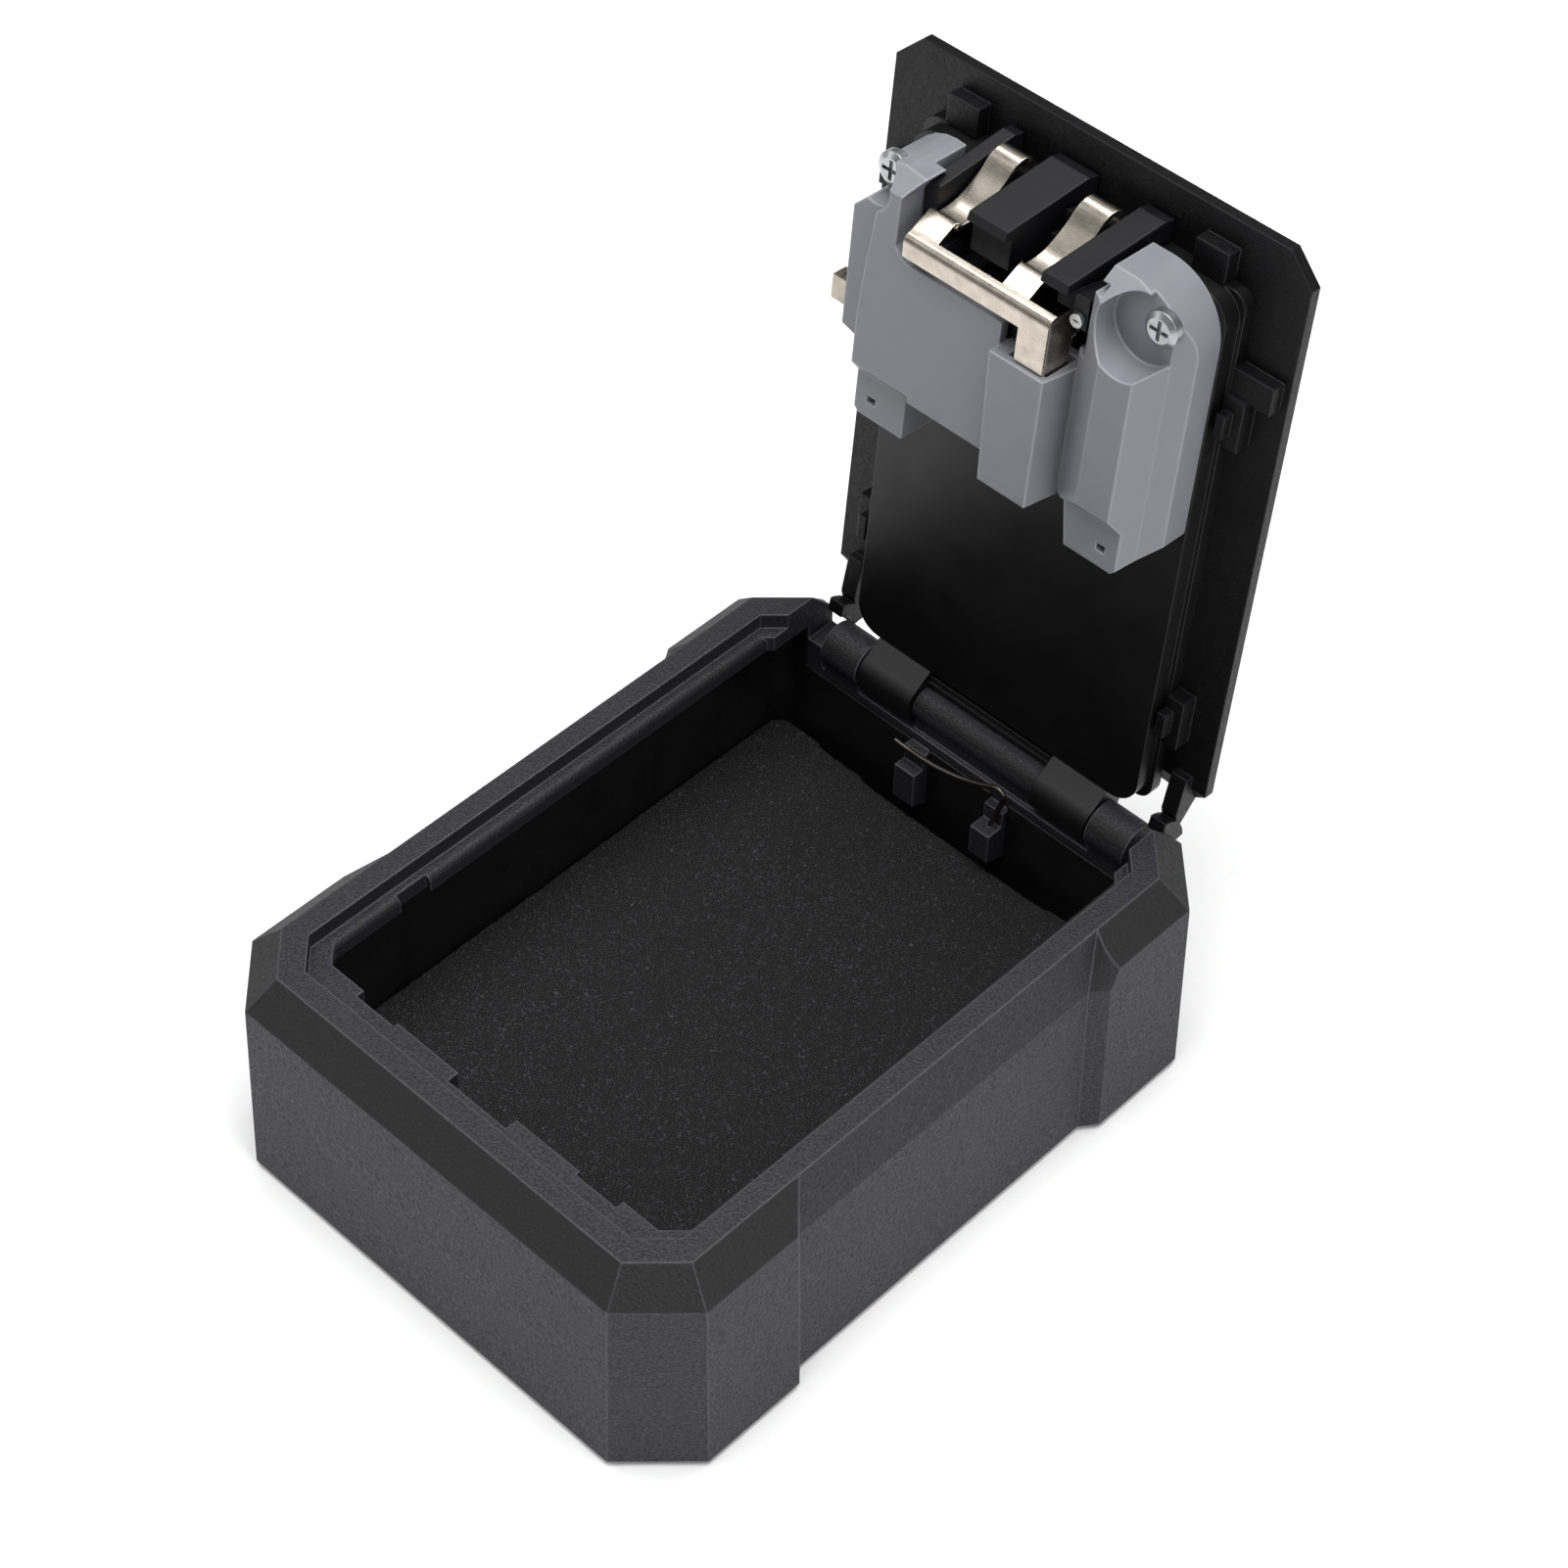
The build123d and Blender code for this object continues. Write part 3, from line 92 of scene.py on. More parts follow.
def lid_slab(form, outline, x_from, x_to):
    """A slab of the lid: a flat outline of v and w, drawn out along x."""
    face = form.faces.new([form.verts.new(in_lid(x_from, v, w)) for v, w in outline])
    draw_out(form, face, ((x_to - x_from) * MM, 0, 0))


def lid_bar(form, x_from, x_to, v_from, v_to, w_from, w_to):
    """A square bar of the lid."""
    lid_slab(form, [(v_from, w_from), (v_from, w_to), (v_to, w_to), (v_to, w_from)], x_from, x_to)


def finished_mesh(form, name, smooth=False):
    """Closes a form, turns its faces outwards and makes it a mesh."""
    bmesh.ops.recalc_face_normals(form, faces=form.faces)
    mesh = bpy.data.meshes.new(name)
    form.to_mesh(mesh)
    form.free()
    for face in mesh.polygons:
        face.use_smooth = smooth
    return mesh


def merged_copy(node, merge_mm):
    """A CAD node's mesh with its loose triangles joined, in a form of its own."""
    mesh = NODES[node].data.copy()
    form = bmesh.new()
    form.from_mesh(mesh)
    bmesh.ops.remove_doubles(form, verts=form.verts, dist=merge_mm * MM)
    return mesh, form


def baked(rough):
    """The mesh of a rough object with its modifiers applied. The object itself is removed."""
    bpy.context.view_layer.update()
    depsgraph = bpy.context.evaluated_depsgraph_get()
    mesh = bpy.data.meshes.new_from_object(rough.evaluated_get(depsgraph))
    bpy.data.objects.remove(rough)
    return mesh


def rounded(piece, width_mm, segments=2, angle=30):
    """Rounds a piece's sharp edges."""
    bevel = piece.modifiers.new("eased edges", "BEVEL")
    bevel.width = width_mm * MM
    bevel.segments = segments
    bevel.limit_method = "ANGLE"
    bevel.angle_limit = math.radians(angle)
    return bevel


def smooth_path(corners, steps):
    """Points of one soft curve through the corners."""
    points = [Vector(corners[0])]
    last = len(corners) - 1
    for i in range(last):
        a, b, c, d = (Vector(corners[min(max(k, 0), last)]) for k in (i - 1, i, i + 1, i + 2))
        for step in range(1, steps + 1):
            t = step / steps
            square = (2 * a - 5 * b + 4 * c - d) * t**2
            cube = (3 * b - a - 3 * c + d) * t**3
            points.append(0.5 * (2 * b + (c - a) * t + square + cube))
    return points


def new_piece(name, mesh, material, body):
    """Puts a finished mesh into the scene, on its body."""
    mesh.materials.clear()
    mesh.materials.append(material)
    piece = bpy.data.objects.new(name, mesh)
    bpy.context.scene.collection.objects.link(piece)
    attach(piece, body)
    return piece


def dress(material, *names):
    """Gives CAD nodes their material."""
    for name in names:
        slots = NODES[name].data.materials
        slots.clear()
        slots.append(material)


# ---- materials ------------------------------------------------------------------------


def linear(code, alpha=1.0):
    """An sRGB hex value, or a colour of the panel, as linear RGBA."""
    if not isinstance(code, str):
        return (*code, alpha)
    channels = [int(code[i : i + 2], 16) / 255 for i in (1, 3, 5)]
    return (
        *(c / 12.92 if c <= 0.04045 else ((c + 0.055) / 1.055) ** 2.4 for c in channels),
        alpha,
    )


def put(tree, kind, settings=None, links=None):
    """Adds one node, with its settings and its links."""
    made = tree.nodes.new(kind)
    for name, value in (settings or {}).items():
        if isinstance(name, int) or name in made.inputs:
            made.inputs[name].default_value = value
        else:
            setattr(made, name, value)
    for name, source in (links or {}).items():
        tree.links.new(source, made.inputs[name])
    return made


def start(name, **surface):
    """A new material, its node tree, its surface shader and the place on the piece."""
    material = bpy.data.materials.new(name)
    material.use_nodes = True
    tree = material.node_tree
    shader = tree.nodes["Principled BSDF"]
    for socket, value in surface.items():
        shader.inputs[socket.replace("_", " ")].default_value = value
    return material, tree, shader, put(tree, "ShaderNodeTexCoord")


def worn_edges(tree, colour, edge, edge_highlight, amount):
    """Paints the colour lighter along the convex edges: a painted highlight, where the rounded edges catch
    the light.
    """
    flat = put(tree, "ShaderNodeNewGeometry")
    along = put(
        tree,
        "ShaderNodeVectorMath",
        {"operation": "DOT_PRODUCT"},
        {0: edge.outputs["Normal"], 1: flat.outputs["True Normal"]},
    )
    highlight_share = put(
        tree,
        "ShaderNodeMapRange",
        {"From Min": 0.995, "From Max": 0.93, "To Min": 0.0, "To Max": amount},
        {"Value": along.outputs["Value"]},
    )
    mixed = put(
        tree,
        "ShaderNodeMix",
        {"data_type": "RGBA", 7: linear(edge_highlight)},
        {0: highlight_share.outputs["Result"], 6: colour},
    )
    return mixed.outputs[2]


def darker_slopes(tree, colour, dark, facing, amount):
    """Darkens the faces that slope, and leaves the upright and the level ones: the slopes' coarser grain, and
    painted shade for the dimmer light they catch.
    """
    parts = put(tree, "ShaderNodeSeparateXYZ", links={"Vector": facing})
    slope = put(tree, "ShaderNodeValToRGB", links={"Fac": parts.outputs["Z"]})
    ramp = slope.color_ramp
    ramp.elements[0].position, ramp.elements[0].color = 0.25, (0, 0, 0, 1)
    ramp.elements[1].position, ramp.elements[1].color = 0.45, (1, 1, 1, 1)
    for position, value in ((0.85, 1), (0.95, 0)):
        ramp.elements.new(position).color = (value, value, value, 1)
    share = put(tree, "ShaderNodeMath", {"operation": "MULTIPLY", 1: amount}, {0: slope.outputs["Color"]})
    mixed = put(
        tree,
        "ShaderNodeMix",
        {"data_type": "RGBA", 7: linear(dark)},
        {0: share.outputs[0], 6: colour},
    )
    return mixed.outputs[2]


def eroded_abs(name, base, dark, edge_highlight, grain_mm, depth_mm, rough, edge_mm=0.35, slope_grain_and_shade=0.0, gloss=0.5):
    """ABS from a spark-eroded mould: a fine even grain that scatters light and hides seams.

    The grain is drawn coarser than a real one, so that it shows.
    """
    material, tree, shader, place = start(name, IOR=1.5, Specular_IOR_Level=gloss)
    grain = put(
        tree,
        "ShaderNodeTexNoise",
        {"Scale": 1 / (grain_mm * MM), "Detail": 2.0, "Roughness": 0.6},
        {"Vector": place.outputs["Object"]},
    )
    cloud = put(
        tree,
        "ShaderNodeTexNoise",
        {"Scale": 1 / (22 * MM), "Detail": 3.0},
        {"Vector": place.outputs["Object"]},
    )
    crisp = put(
        tree,
        "ShaderNodeMapRange",
        {"From Min": 0.28, "From Max": 0.72},
        {"Value": grain.outputs["Fac"]},
    )
    speck = put(
        tree,
        "ShaderNodeMix",
        {"data_type": "RGBA", 6: linear(dark), 7: linear(base)},
        {0: crisp.outputs["Result"]},
    )
    sheen = put(
        tree,
        "ShaderNodeMapRange",
        {"From Min": 0.28, "From Max": 0.72, "To Min": rough + 0.12, "To Max": rough - 0.12},
        {"Value": grain.outputs["Fac"]},
    )
    tone = put(
        tree,
        "ShaderNodeMapRange",
        {"From Min": 0.3, "From Max": 0.7, "To Min": 0.88, "To Max": 1.1},
        {"Value": cloud.outputs["Fac"]},
    )
    shade = put(
        tree,
        "ShaderNodeMix",
        {"data_type": "RGBA", "blend_type": "MULTIPLY", 0: 1.0},
        {6: speck.outputs[2], 7: tone.outputs["Result"]},
    )
    colour = shade.outputs[2]
    if slope_grain_and_shade:
        # sloped faces: a coarser, darker grain from the mould, and painted shade for the dimmer light they
        # catch
        colour = darker_slopes(tree, colour, dark, place.outputs["Normal"], slope_grain_and_shade)
    edge = put(tree, "ShaderNodeBevel", {"samples": 6, "Radius": edge_mm * MM})
    bump = put(
        tree,
        "ShaderNodeBump",
        {"Strength": 0.9, "Distance": depth_mm * MM},
        {"Height": grain.outputs["Fac"], "Normal": edge.outputs["Normal"]},
    )
    # a painted highlight lightens the colour along the convex edges
    tree.links.new(worn_edges(tree, colour, edge, edge_highlight, 0.7), shader.inputs["Base Color"])
    tree.links.new(sheen.outputs["Result"], shader.inputs["Roughness"])
    tree.links.new(bump.outputs["Normal"], shader.inputs["Normal"])
    return material


def polished_plastic(
    name, base, light, rough_low, rough_high, wave_mm=14.0, edge_mm=0.3, gloss=0.5, edge_highlight=None
):
    """Plastic from a polished mould: smooth, with faint flow marks and handling smudges."""
    material, tree, shader, place = start(name, IOR=1.5, Specular_IOR_Level=gloss)
    flow = put(
        tree,
        "ShaderNodeTexNoise",
        {"Scale": 1 / (wave_mm * MM), "Detail": 4.0, "Roughness": 0.55, "Distortion": 0.6},
        {"Vector": place.outputs["Object"]},
    )
    dust = put(
        tree,
        "ShaderNodeTexNoise",
        {"Scale": 1 / (1.1 * MM), "Detail": 2.0},
        {"Vector": place.outputs["Object"]},
    )
    tone = put(
        tree,
        "ShaderNodeMix",
        {"data_type": "RGBA", 6: linear(base), 7: linear(light)},
        {0: flow.outputs["Fac"]},
    )
    smudge = put(
        tree,
        "ShaderNodeMapRange",
        {"From Min": 0.35, "From Max": 0.68, "To Min": rough_low, "To Max": rough_high},
        {"Value": flow.outputs["Fac"]},
    )
    height = put(
        tree,
        "ShaderNodeMath",
        {"operation": "MULTIPLY_ADD", 1: 0.12},
        {0: dust.outputs["Fac"], 2: flow.outputs["Fac"]},
    )
    edge = put(tree, "ShaderNodeBevel", {"samples": 6, "Radius": edge_mm * MM})
    bump = put(
        tree,
        "ShaderNodeBump",
        {"Strength": 0.35, "Distance": 0.12 * MM},
        {"Height": height.outputs[0], "Normal": edge.outputs["Normal"]},
    )
    # a painted highlight lightens the colour along the convex edges, where its colour is given
    colour = worn_edges(tree, tone.outputs[2], edge, edge_highlight, 0.75) if edge_highlight else tone.outputs[2]
    tree.links.new(colour, shader.inputs["Base Color"])
    tree.links.new(smudge.outputs["Result"], shader.inputs["Roughness"])
    tree.links.new(bump.outputs["Normal"], shader.inputs["Normal"])
    return material


def worked_metal(name, tint, shadow, rough_low, rough_high, stretch, cloud_mm=3.5, relief=0.5):
    """Metal with fine lines along the way it was drawn or stamped, and a faint cloud in its plating.

    The lines run long where stretch is under 1. They are drawn coarser than real ones, so that they show.
    """
    line_mm, edge_mm = 0.25, 0.15
    material, tree, shader, place = start(name, Metallic=1.0)
    drawn = put(tree, "ShaderNodeMapping", {"Scale": stretch}, {"Vector": place.outputs["Object"]})
    lines = put(
        tree,
        "ShaderNodeTexNoise",
        {"Scale": 1 / (line_mm * MM), "Detail": 3.0, "Roughness": 0.7},
        {"Vector": drawn.outputs["Vector"]},
    )
    cloud = put(
        tree,
        "ShaderNodeTexNoise",
        {"Scale": 1 / (cloud_mm * MM), "Detail": 3.0},
        {"Vector": place.outputs["Object"]},
    )
    tone = put(
        tree,
        "ShaderNodeMix",
        {"data_type": "RGBA", 6: linear(shadow), 7: linear(tint)},
        {0: cloud.outputs["Fac"]},
    )
    rough = put(
        tree,
        "ShaderNodeMapRange",
        {"From Min": 0.3, "From Max": 0.7, "To Min": rough_low, "To Max": rough_high},
        {"Value": lines.outputs["Fac"]},
    )
    edge = put(tree, "ShaderNodeBevel", {"samples": 6, "Radius": edge_mm * MM})
    bump = put(
        tree,
        "ShaderNodeBump",
        {"Strength": relief, "Distance": 0.02 * MM},
        {"Height": lines.outputs["Fac"], "Normal": edge.outputs["Normal"]},
    )
    tree.links.new(tone.outputs[2], shader.inputs["Base Color"])
    tree.links.new(rough.outputs["Result"], shader.inputs["Roughness"])
    tree.links.new(bump.outputs["Normal"], shader.inputs["Normal"])
    return material


def cut_foam(name, base, light, cell_mm):
    """Conductive foam, sawn open: dark cells with thin lighter ribs between them."""
    material, tree, shader, place = start(name, Roughness=0.95, IOR=1.4)
    cells = put(
        tree,
        "ShaderNodeTexVoronoi",
        {"feature": "DISTANCE_TO_EDGE", "Scale": 1 / (cell_mm * MM)},
        {"Vector": place.outputs["Object"]},
    )
    rag = put(
        tree,
        "ShaderNodeTexNoise",
        {"Scale": 1 / (0.8 * MM), "Detail": 4.0, "Roughness": 0.7},
        {"Vector": place.outputs["Object"]},
    )
    rib = put(
        tree,
        "ShaderNodeMapRange",
        {"From Min": 0.0, "From Max": 0.11, "To Min": 1.0, "To Max": 0.0},
        {"Value": cells.outputs["Distance"]},
    )
    lit = put(
        tree,
        "ShaderNodeMath",
        {"operation": "MULTIPLY"},
        {0: rib.outputs["Result"], 1: rag.outputs["Fac"]},
    )
    tone = put(
        tree,
        "ShaderNodeMix",
        {"data_type": "RGBA", 6: linear(base), 7: linear(light)},
        {0: lit.outputs[0]},
    )
    bump = put(
        tree,
        "ShaderNodeBump",
        {"Strength": 1.0, "Distance": 0.25 * MM},
        {"Height": lit.outputs[0]},
    )
    tree.links.new(tone.outputs[2], shader.inputs["Base Color"])
    tree.links.new(bump.outputs["Normal"], shader.inputs["Normal"])
    return material


def plain_paint(name, base, rough):
    """Printed or floor paint: one even coat with a faint unevenness."""
    material, tree, shader, place = start(name, Roughness=rough)
    coat = put(
        tree,
        "ShaderNodeTexNoise",
        {"Scale": 1 / (2.0 * MM), "Detail": 2.0},
        {"Vector": place.outputs["Object"]},
    )
    tone = put(
        tree,
        "ShaderNodeMix",
        {"data_type": "RGBA", "blend_type": "MULTIPLY", 0: 0.04, 6: linear(base)},
        {7: coat.outputs["Color"]},
    )
    tree.links.new(tone.outputs[2], shader.inputs["Base Color"])
    return material


# ---- settings -------------------------------------------------------------------------


class FinishSettings(bpy.types.PropertyGroup):
    """Colours of the finishes."""

    shell: bpy.props.FloatVectorProperty(
        name="Box",
        description="Colour of the box",
        default=linear("#28262e")[:3],
        subtype="COLOR",
        min=0,
        max=1,
    )
    lid: bpy.props.FloatVectorProperty(
        name="Lid",
        description="Colour of the lid panel",
        default=linear("#08080b")[:3],
        subtype="COLOR",
        min=0,
        max=1,
    )
    housing: bpy.props.FloatVectorProperty(
        name="Housing",
        description="Colour of the lock's cover",
        default=linear("#7e7f86")[:3],
        subtype="COLOR",
        min=0,
        max=1,
    )
    foam: bpy.props.FloatVectorProperty(
        name="Foam",
        description="Colour of the foam's cells",
        default=linear("#080809")[:3],
        subtype="COLOR",
        min=0,
        max=1,
    )
    plating: bpy.props.FloatVectorProperty(
        name="Plating",
        description="Colour of the latch's nickel",
        default=linear("#d9d0c4")[:3],
        subtype="COLOR",
        min=0,
        max=1,
    )


class FoamSettings(bpy.types.PropertyGroup):
    """Sizes of the foam pad."""

    voxel: bpy.props.FloatProperty(
        name="Cell", description="Size of the surface cells", default=0.85 * MM, unit="LENGTH"
    )
    pit: bpy.props.FloatProperty(
        name="Pits", description="Depth of the open cells", default=0.32 * MM, unit="LENGTH"
    )
    sag: bpy.props.FloatProperty(
        name="Unevenness", description="Slow rise and fall of the top", default=0.5 * MM, unit="LENGTH"
    )


class LatchSettings(bpy.types.PropertyGroup):
    """Sizes of the latch strip and of the housing's edges."""

    strip: bpy.props.FloatProperty(
        name="Strip", description="Thickness of the latch strip", default=0.9 * MM, unit="LENGTH"
    )
    lean: bpy.props.FloatProperty(
        name="Lean",
        description="The fingers' tips stand this far to the right",
        default=3.9 * MM,
        unit="LENGTH",
    )
    cover_round: bpy.props.FloatProperty(
        name="Housing edges",
        description="Rounding of the housing's edges",
        default=0.45 * MM,
        unit="LENGTH",
    )


class StudioSettings(bpy.types.PropertyGroup):
    """Light and floor of the studio."""

    floor_size: bpy.props.FloatProperty(
        name="Floor", description="Side of the floor", default=6.0, unit="LENGTH"
    )
    top_power: bpy.props.FloatProperty(
        name="Top light", description="Power of the overhead softbox", default=29.0, unit="POWER"
    )
    side_power: bpy.props.FloatProperty(
        name="Side light", description="Mean power of the side softboxes", default=4.5, unit="POWER"
    )


# ---- finishes of the CAD pieces -------------------------------------------------------


class KEYBOX_OT_mouldings(bpy.types.Operator):
    """Gives the moulded plastic pieces their finishes"""

    bl_idname = "keybox.mouldings"
    bl_label = "Mouldings"

    def execute(self, context):
        finish = context.scene.keybox_finish
        # deep grain: matt, finely flecked faces, slopes darkened by coarser grain and painted shade, and a
        # painted highlight along the edges
        shell_abs = eroded_abs(
            "spark_eroded_abs",
            finish.shell,
            "#08080a",
            "#5c5b62",
            grain_mm=0.5,
            depth_mm=0.2,
            rough=0.62,
            edge_mm=0.5,
            slope_grain_and_shade=0.95,
            gloss=0.45,
        )
        # shallow grain: an even, nearly black satin, with a faint painted highlight along the edges
        lid_abs = eroded_abs(
            "fine_eroded_abs",
            finish.lid,
            "#030304",
            "#1e1e22",
            grain_mm=0.6,
            depth_mm=0.05,
            rough=0.48,
            edge_mm=0.4,
            gloss=0.28,
        )
        # no grain: deep black with soft reflections of the box
        frame_abs = polished_plastic("polished_black_abs", "#050506", "#0a0a0b", 0.38, 0.46, gloss=0.4)
        # a slippery, slightly greyer black, with sharper lights on the dials' teeth
        dial_acetal = polished_plastic("dial_acetal_black", "#0c0c0d", "#1a1a1b", 0.3, 0.4, wave_mm=5.0)
        # lacquer over thin foil: dark, with slow shallow waves
        foil = polished_plastic("lacquered_shielding_foil", "#09090a", "#161617", 0.25, 0.4, wave_mm=9.0)
        dress(shell_abs, "body_shell")
        dress(lid_abs, "lid_plate", "open_slider")
        dress(frame_abs, "lid_frame")
        dress(dial_acetal, "dial_1", "dial_2", "dial_3", "dial_4")
        dress(foil, "shield_liner", "lid_shield")
        return {"FINISHED"}


class KEYBOX_OT_metalwork(bpy.types.Operator):
    """Gives the metal pieces their finishes"""

    bl_idname = "keybox.metalwork"
    bl_label = "Metalwork"

    def execute(self, context):
        # nickel on stamped strip: warm and bright, with fine lines along the lever
        lever = worked_metal("nickel_plated_lever_steel", "#cfc7bb", "#857c72", 0.22, 0.38, (1.0, 0.15, 0.15))
        # zinc on small turned heads: a cooler, greyer glint
        screws = worked_metal("zinc_plated_screw_steel", "#d9dadb", "#8f9193", 0.25, 0.4, (1.0, 1.0, 1.0))
        # drawn bare: long fine lines and a sharp light
        bright = worked_metal("bright_drawn_steel", "#cfcfcf", "#8c8c8c", 0.2, 0.32, (0.1, 1.0, 1.0))
        # brownish spring wire: its dark tint is painted shade for the dark inside of the box that it mirrors,
        # with one dull light along it
        wire = worked_metal("spring_wire_painted_dark", "#6e655f", "#37322e", 0.3, 0.45, (0.15, 1.0, 1.0))
        # turned on a lathe: yellow, with rings round the sleeve
        brass = worked_metal("turned_brass", "#d8b56a", "#9a7a3a", 0.25, 0.4, (1.0, 0.3, 0.3))
        dress(lever, "reset_lever")
        dress(screws, "housing_screws", "guide_screw", "carriage_pins")
        dress(bright, "hinge_pin", "dial_shaft", "detent_spring", "latch_spring")
        dress(wire, "key_wire")
        dress(brass, "code_sleeve_1", "code_sleeve_2", "code_sleeve_3", "code_sleeve_4")
        return {"FINISHED"}


# ---- lid ------------------------------------------------------------------------------


class KEYBOX_OT_frame_lip(bpy.types.Operator):
    """Carries the lid frame's lip down to the slim hinge barrel, over the gap above it"""

    bl_idname = "keybox.frame_lip"
    bl_label = "Frame lip"

    def execute(self, context):
        half_length = 14.2  # between the lid's knuckles
        lip = bmesh.new()
        lid_bar(lip, -half_length, half_length, v_from=3.5, v_to=4.6, w_from=4.2, w_to=6.4)
        material = NODES["lid_frame"].data.materials[0]
        new_piece("frame_lip", finished_mesh(lip, "frame_lip"), material, "lid")
        return {"FINISHED"}


# The latch strip, along x: its left end, its two fingers and its right end.
STRIP_LEFT, LEFT_FINGER_TO = -18.3, -12.8
RIGHT_FINGER_FROM, RIGHT_FINGER_TO, STRIP_RIGHT = 0.4, 5.9, 11.6
# Its section, in v and w: a leg that ends below the bar, the bar's front, the fold and the hook.
LEG_LOW, BAR_LOW, BAR_FRONT = 94.8, 100.9, 22.55
FOLD_V, FOLD_W = 105.3, 20.7
ROOT_V, ROOT_W = 107.4, 16.9


def leaned(w, lean):
    """How far the fingers and the guide's walls stand to the right at a depth."""
    return lean * (ROOT_W - w) / ROOT_W


def strip_section():
    """The strip's section from the leg's end to the fingertips."""
    fold = [
        (103.2, BAR_FRONT),
        (104.1, 22.45),
        (104.75, 22.0),
        (105.05, 21.4),
        (FOLD_V, FOLD_W),
    ]
    hook = [
        (FOLD_V, FOLD_W),
        (ROOT_V, ROOT_W),
        (106.9, 15.9),
        (108.3, 12.6),
        (111.8, 9.2),
        (115.0, 7.0),
        (116.0, 5.2),
        (115.4, 3.9),
        (113.4, 3.6),
    ]
    return [(LEG_LOW, BAR_FRONT), (BAR_LOW, BAR_FRONT), *fold, *smooth_path(hook, 5)[1:]]


def strip_mesh(thickness, lean):
    """The strip: its section drawn out along x, with the gaps beside the leg and the fingers cut out."""
    form = bmesh.new()
    row = [form.verts.new(in_lid(STRIP_LEFT, v, w)) for v, w in strip_section()]
    edges = [form.edges.new(pair) for pair in zip(row, row[1:])]
    stations = (STRIP_LEFT, LEFT_FINGER_TO, RIGHT_FINGER_FROM, RIGHT_FINGER_TO, STRIP_RIGHT)
    for x_from, x_to in zip(stations, stations[1:]):
        drawn = bmesh.ops.extrude_edge_only(form, edges=edges)["geom"]
        row = [item for item in drawn if isinstance(item, bmesh.types.BMVert)]
        edges = [item for item in drawn if isinstance(item, bmesh.types.BMEdge)]
        bmesh.ops.translate(form, verts=row, vec=((x_to - x_from) * MM, 0, 0))

    gaps = []
    for face in form.faces:
        x, v, w = place_in_lid(face.calc_center_median())
        finger = STRIP_LEFT < x < LEFT_FINGER_TO or RIGHT_FINGER_FROM < x < RIGHT_FINGER_TO
        leg = x > RIGHT_FINGER_TO
        if (w < FOLD_W and not finger) or (v < BAR_LOW and not leg):
            gaps.append(face)
    bmesh.ops.delete(form, geom=gaps, context="FACES")

    set_in = {STRIP_LEFT: 0.7, LEFT_FINGER_TO: 0.3}  # the left finger is narrower than its root
    for vertex in form.verts:
        x, _, w = place_in_lid(vertex.co)
        if w < ROOT_W - 0.1:
            vertex.co.x += leaned(w, lean) + set_in.get(round(x, 1), 0.0) * MM
    bmesh.ops.solidify(form, geom=list(form.faces), thickness=thickness)
    mesh = finished_mesh(form, "latch_strip", smooth=True)
    mesh.set_sharp_from_angle(angle=math.radians(50))
    return mesh


def leg_mesh():
    """The leg's side, bent back from the strip's right end into the spring tower."""
    form = bmesh.new()
    lid_bar(form, 10.75, 11.65, v_from=93.0, v_to=104.3, w_from=16.0, w_to=22.2)
    bmesh.ops.bevel(
        form,
        geom=list(form.edges),
        offset=0.25 * MM,
        affect="EDGES",
        segments=2,
        profile=0.5,
        material=-1,
    )
    return finished_mesh(form, "latch_leg")


def slide_mesh():
    """The slide behind the strip, with a block under each finger's root."""
    back, front = 8.3, 18.6
    form = bmesh.new()
    lid_bar(form, -17.4, 6.0, 95.0, 99.8, back, front)
    for x_from, x_to in ((-17.4, -12.9), (0.7, 5.4)):
        lid_bar(form, x_from, x_to, 99.7, 103.9, back, front)
    return finished_mesh(form, "latch_slide")


def guide_mesh(lean):
    """The guide: a floor, three walls that lean with the fingers, and the screw's boss."""
    floor_low, floor_high, wall_low = 95.9, 108.0, 103.3
    form = bmesh.new()
    for x_from, x_to, v_from in ((-20.4, -4.3, floor_low), (-4.4, 4.4, 103.1), (4.3, 15.5, floor_low)):
        lid_bar(form, x_from, x_to, v_from, floor_high, w_from=5.8, w_to=8.0)
    low_end = [(wall_low, 5.9), (wall_low, 15.6), (109.2, 15.6)]
    high_end = [(116.3, 2.2), (116.3, 0.4), (112.2, 0.4), (112.2, 5.9)]
    for x_from, x_to, nose in ((-20.9, -18.2, 15.8), (-10.9, -3.0, 17.0), (7.0, 12.2, 20.2)):
        lid_slab(form, [*low_end, (109.2, nose), (110.8, nose - 0.4), *high_end], x_from, x_to)
    for vertex in form.verts:
        _, v, w = place_in_lid(vertex.co)
        on_floor = abs(v - floor_high) < 0.1
        if v > wall_low - 0.1 and w < ROOT_W and not on_floor:
            vertex.co.x += leaned(w, lean)
    lid_bar(form, 12.6, 15.5, wall_low, 109.1, w_from=5.9, w_to=18.3)
    return finished_mesh(form, "latch_block")


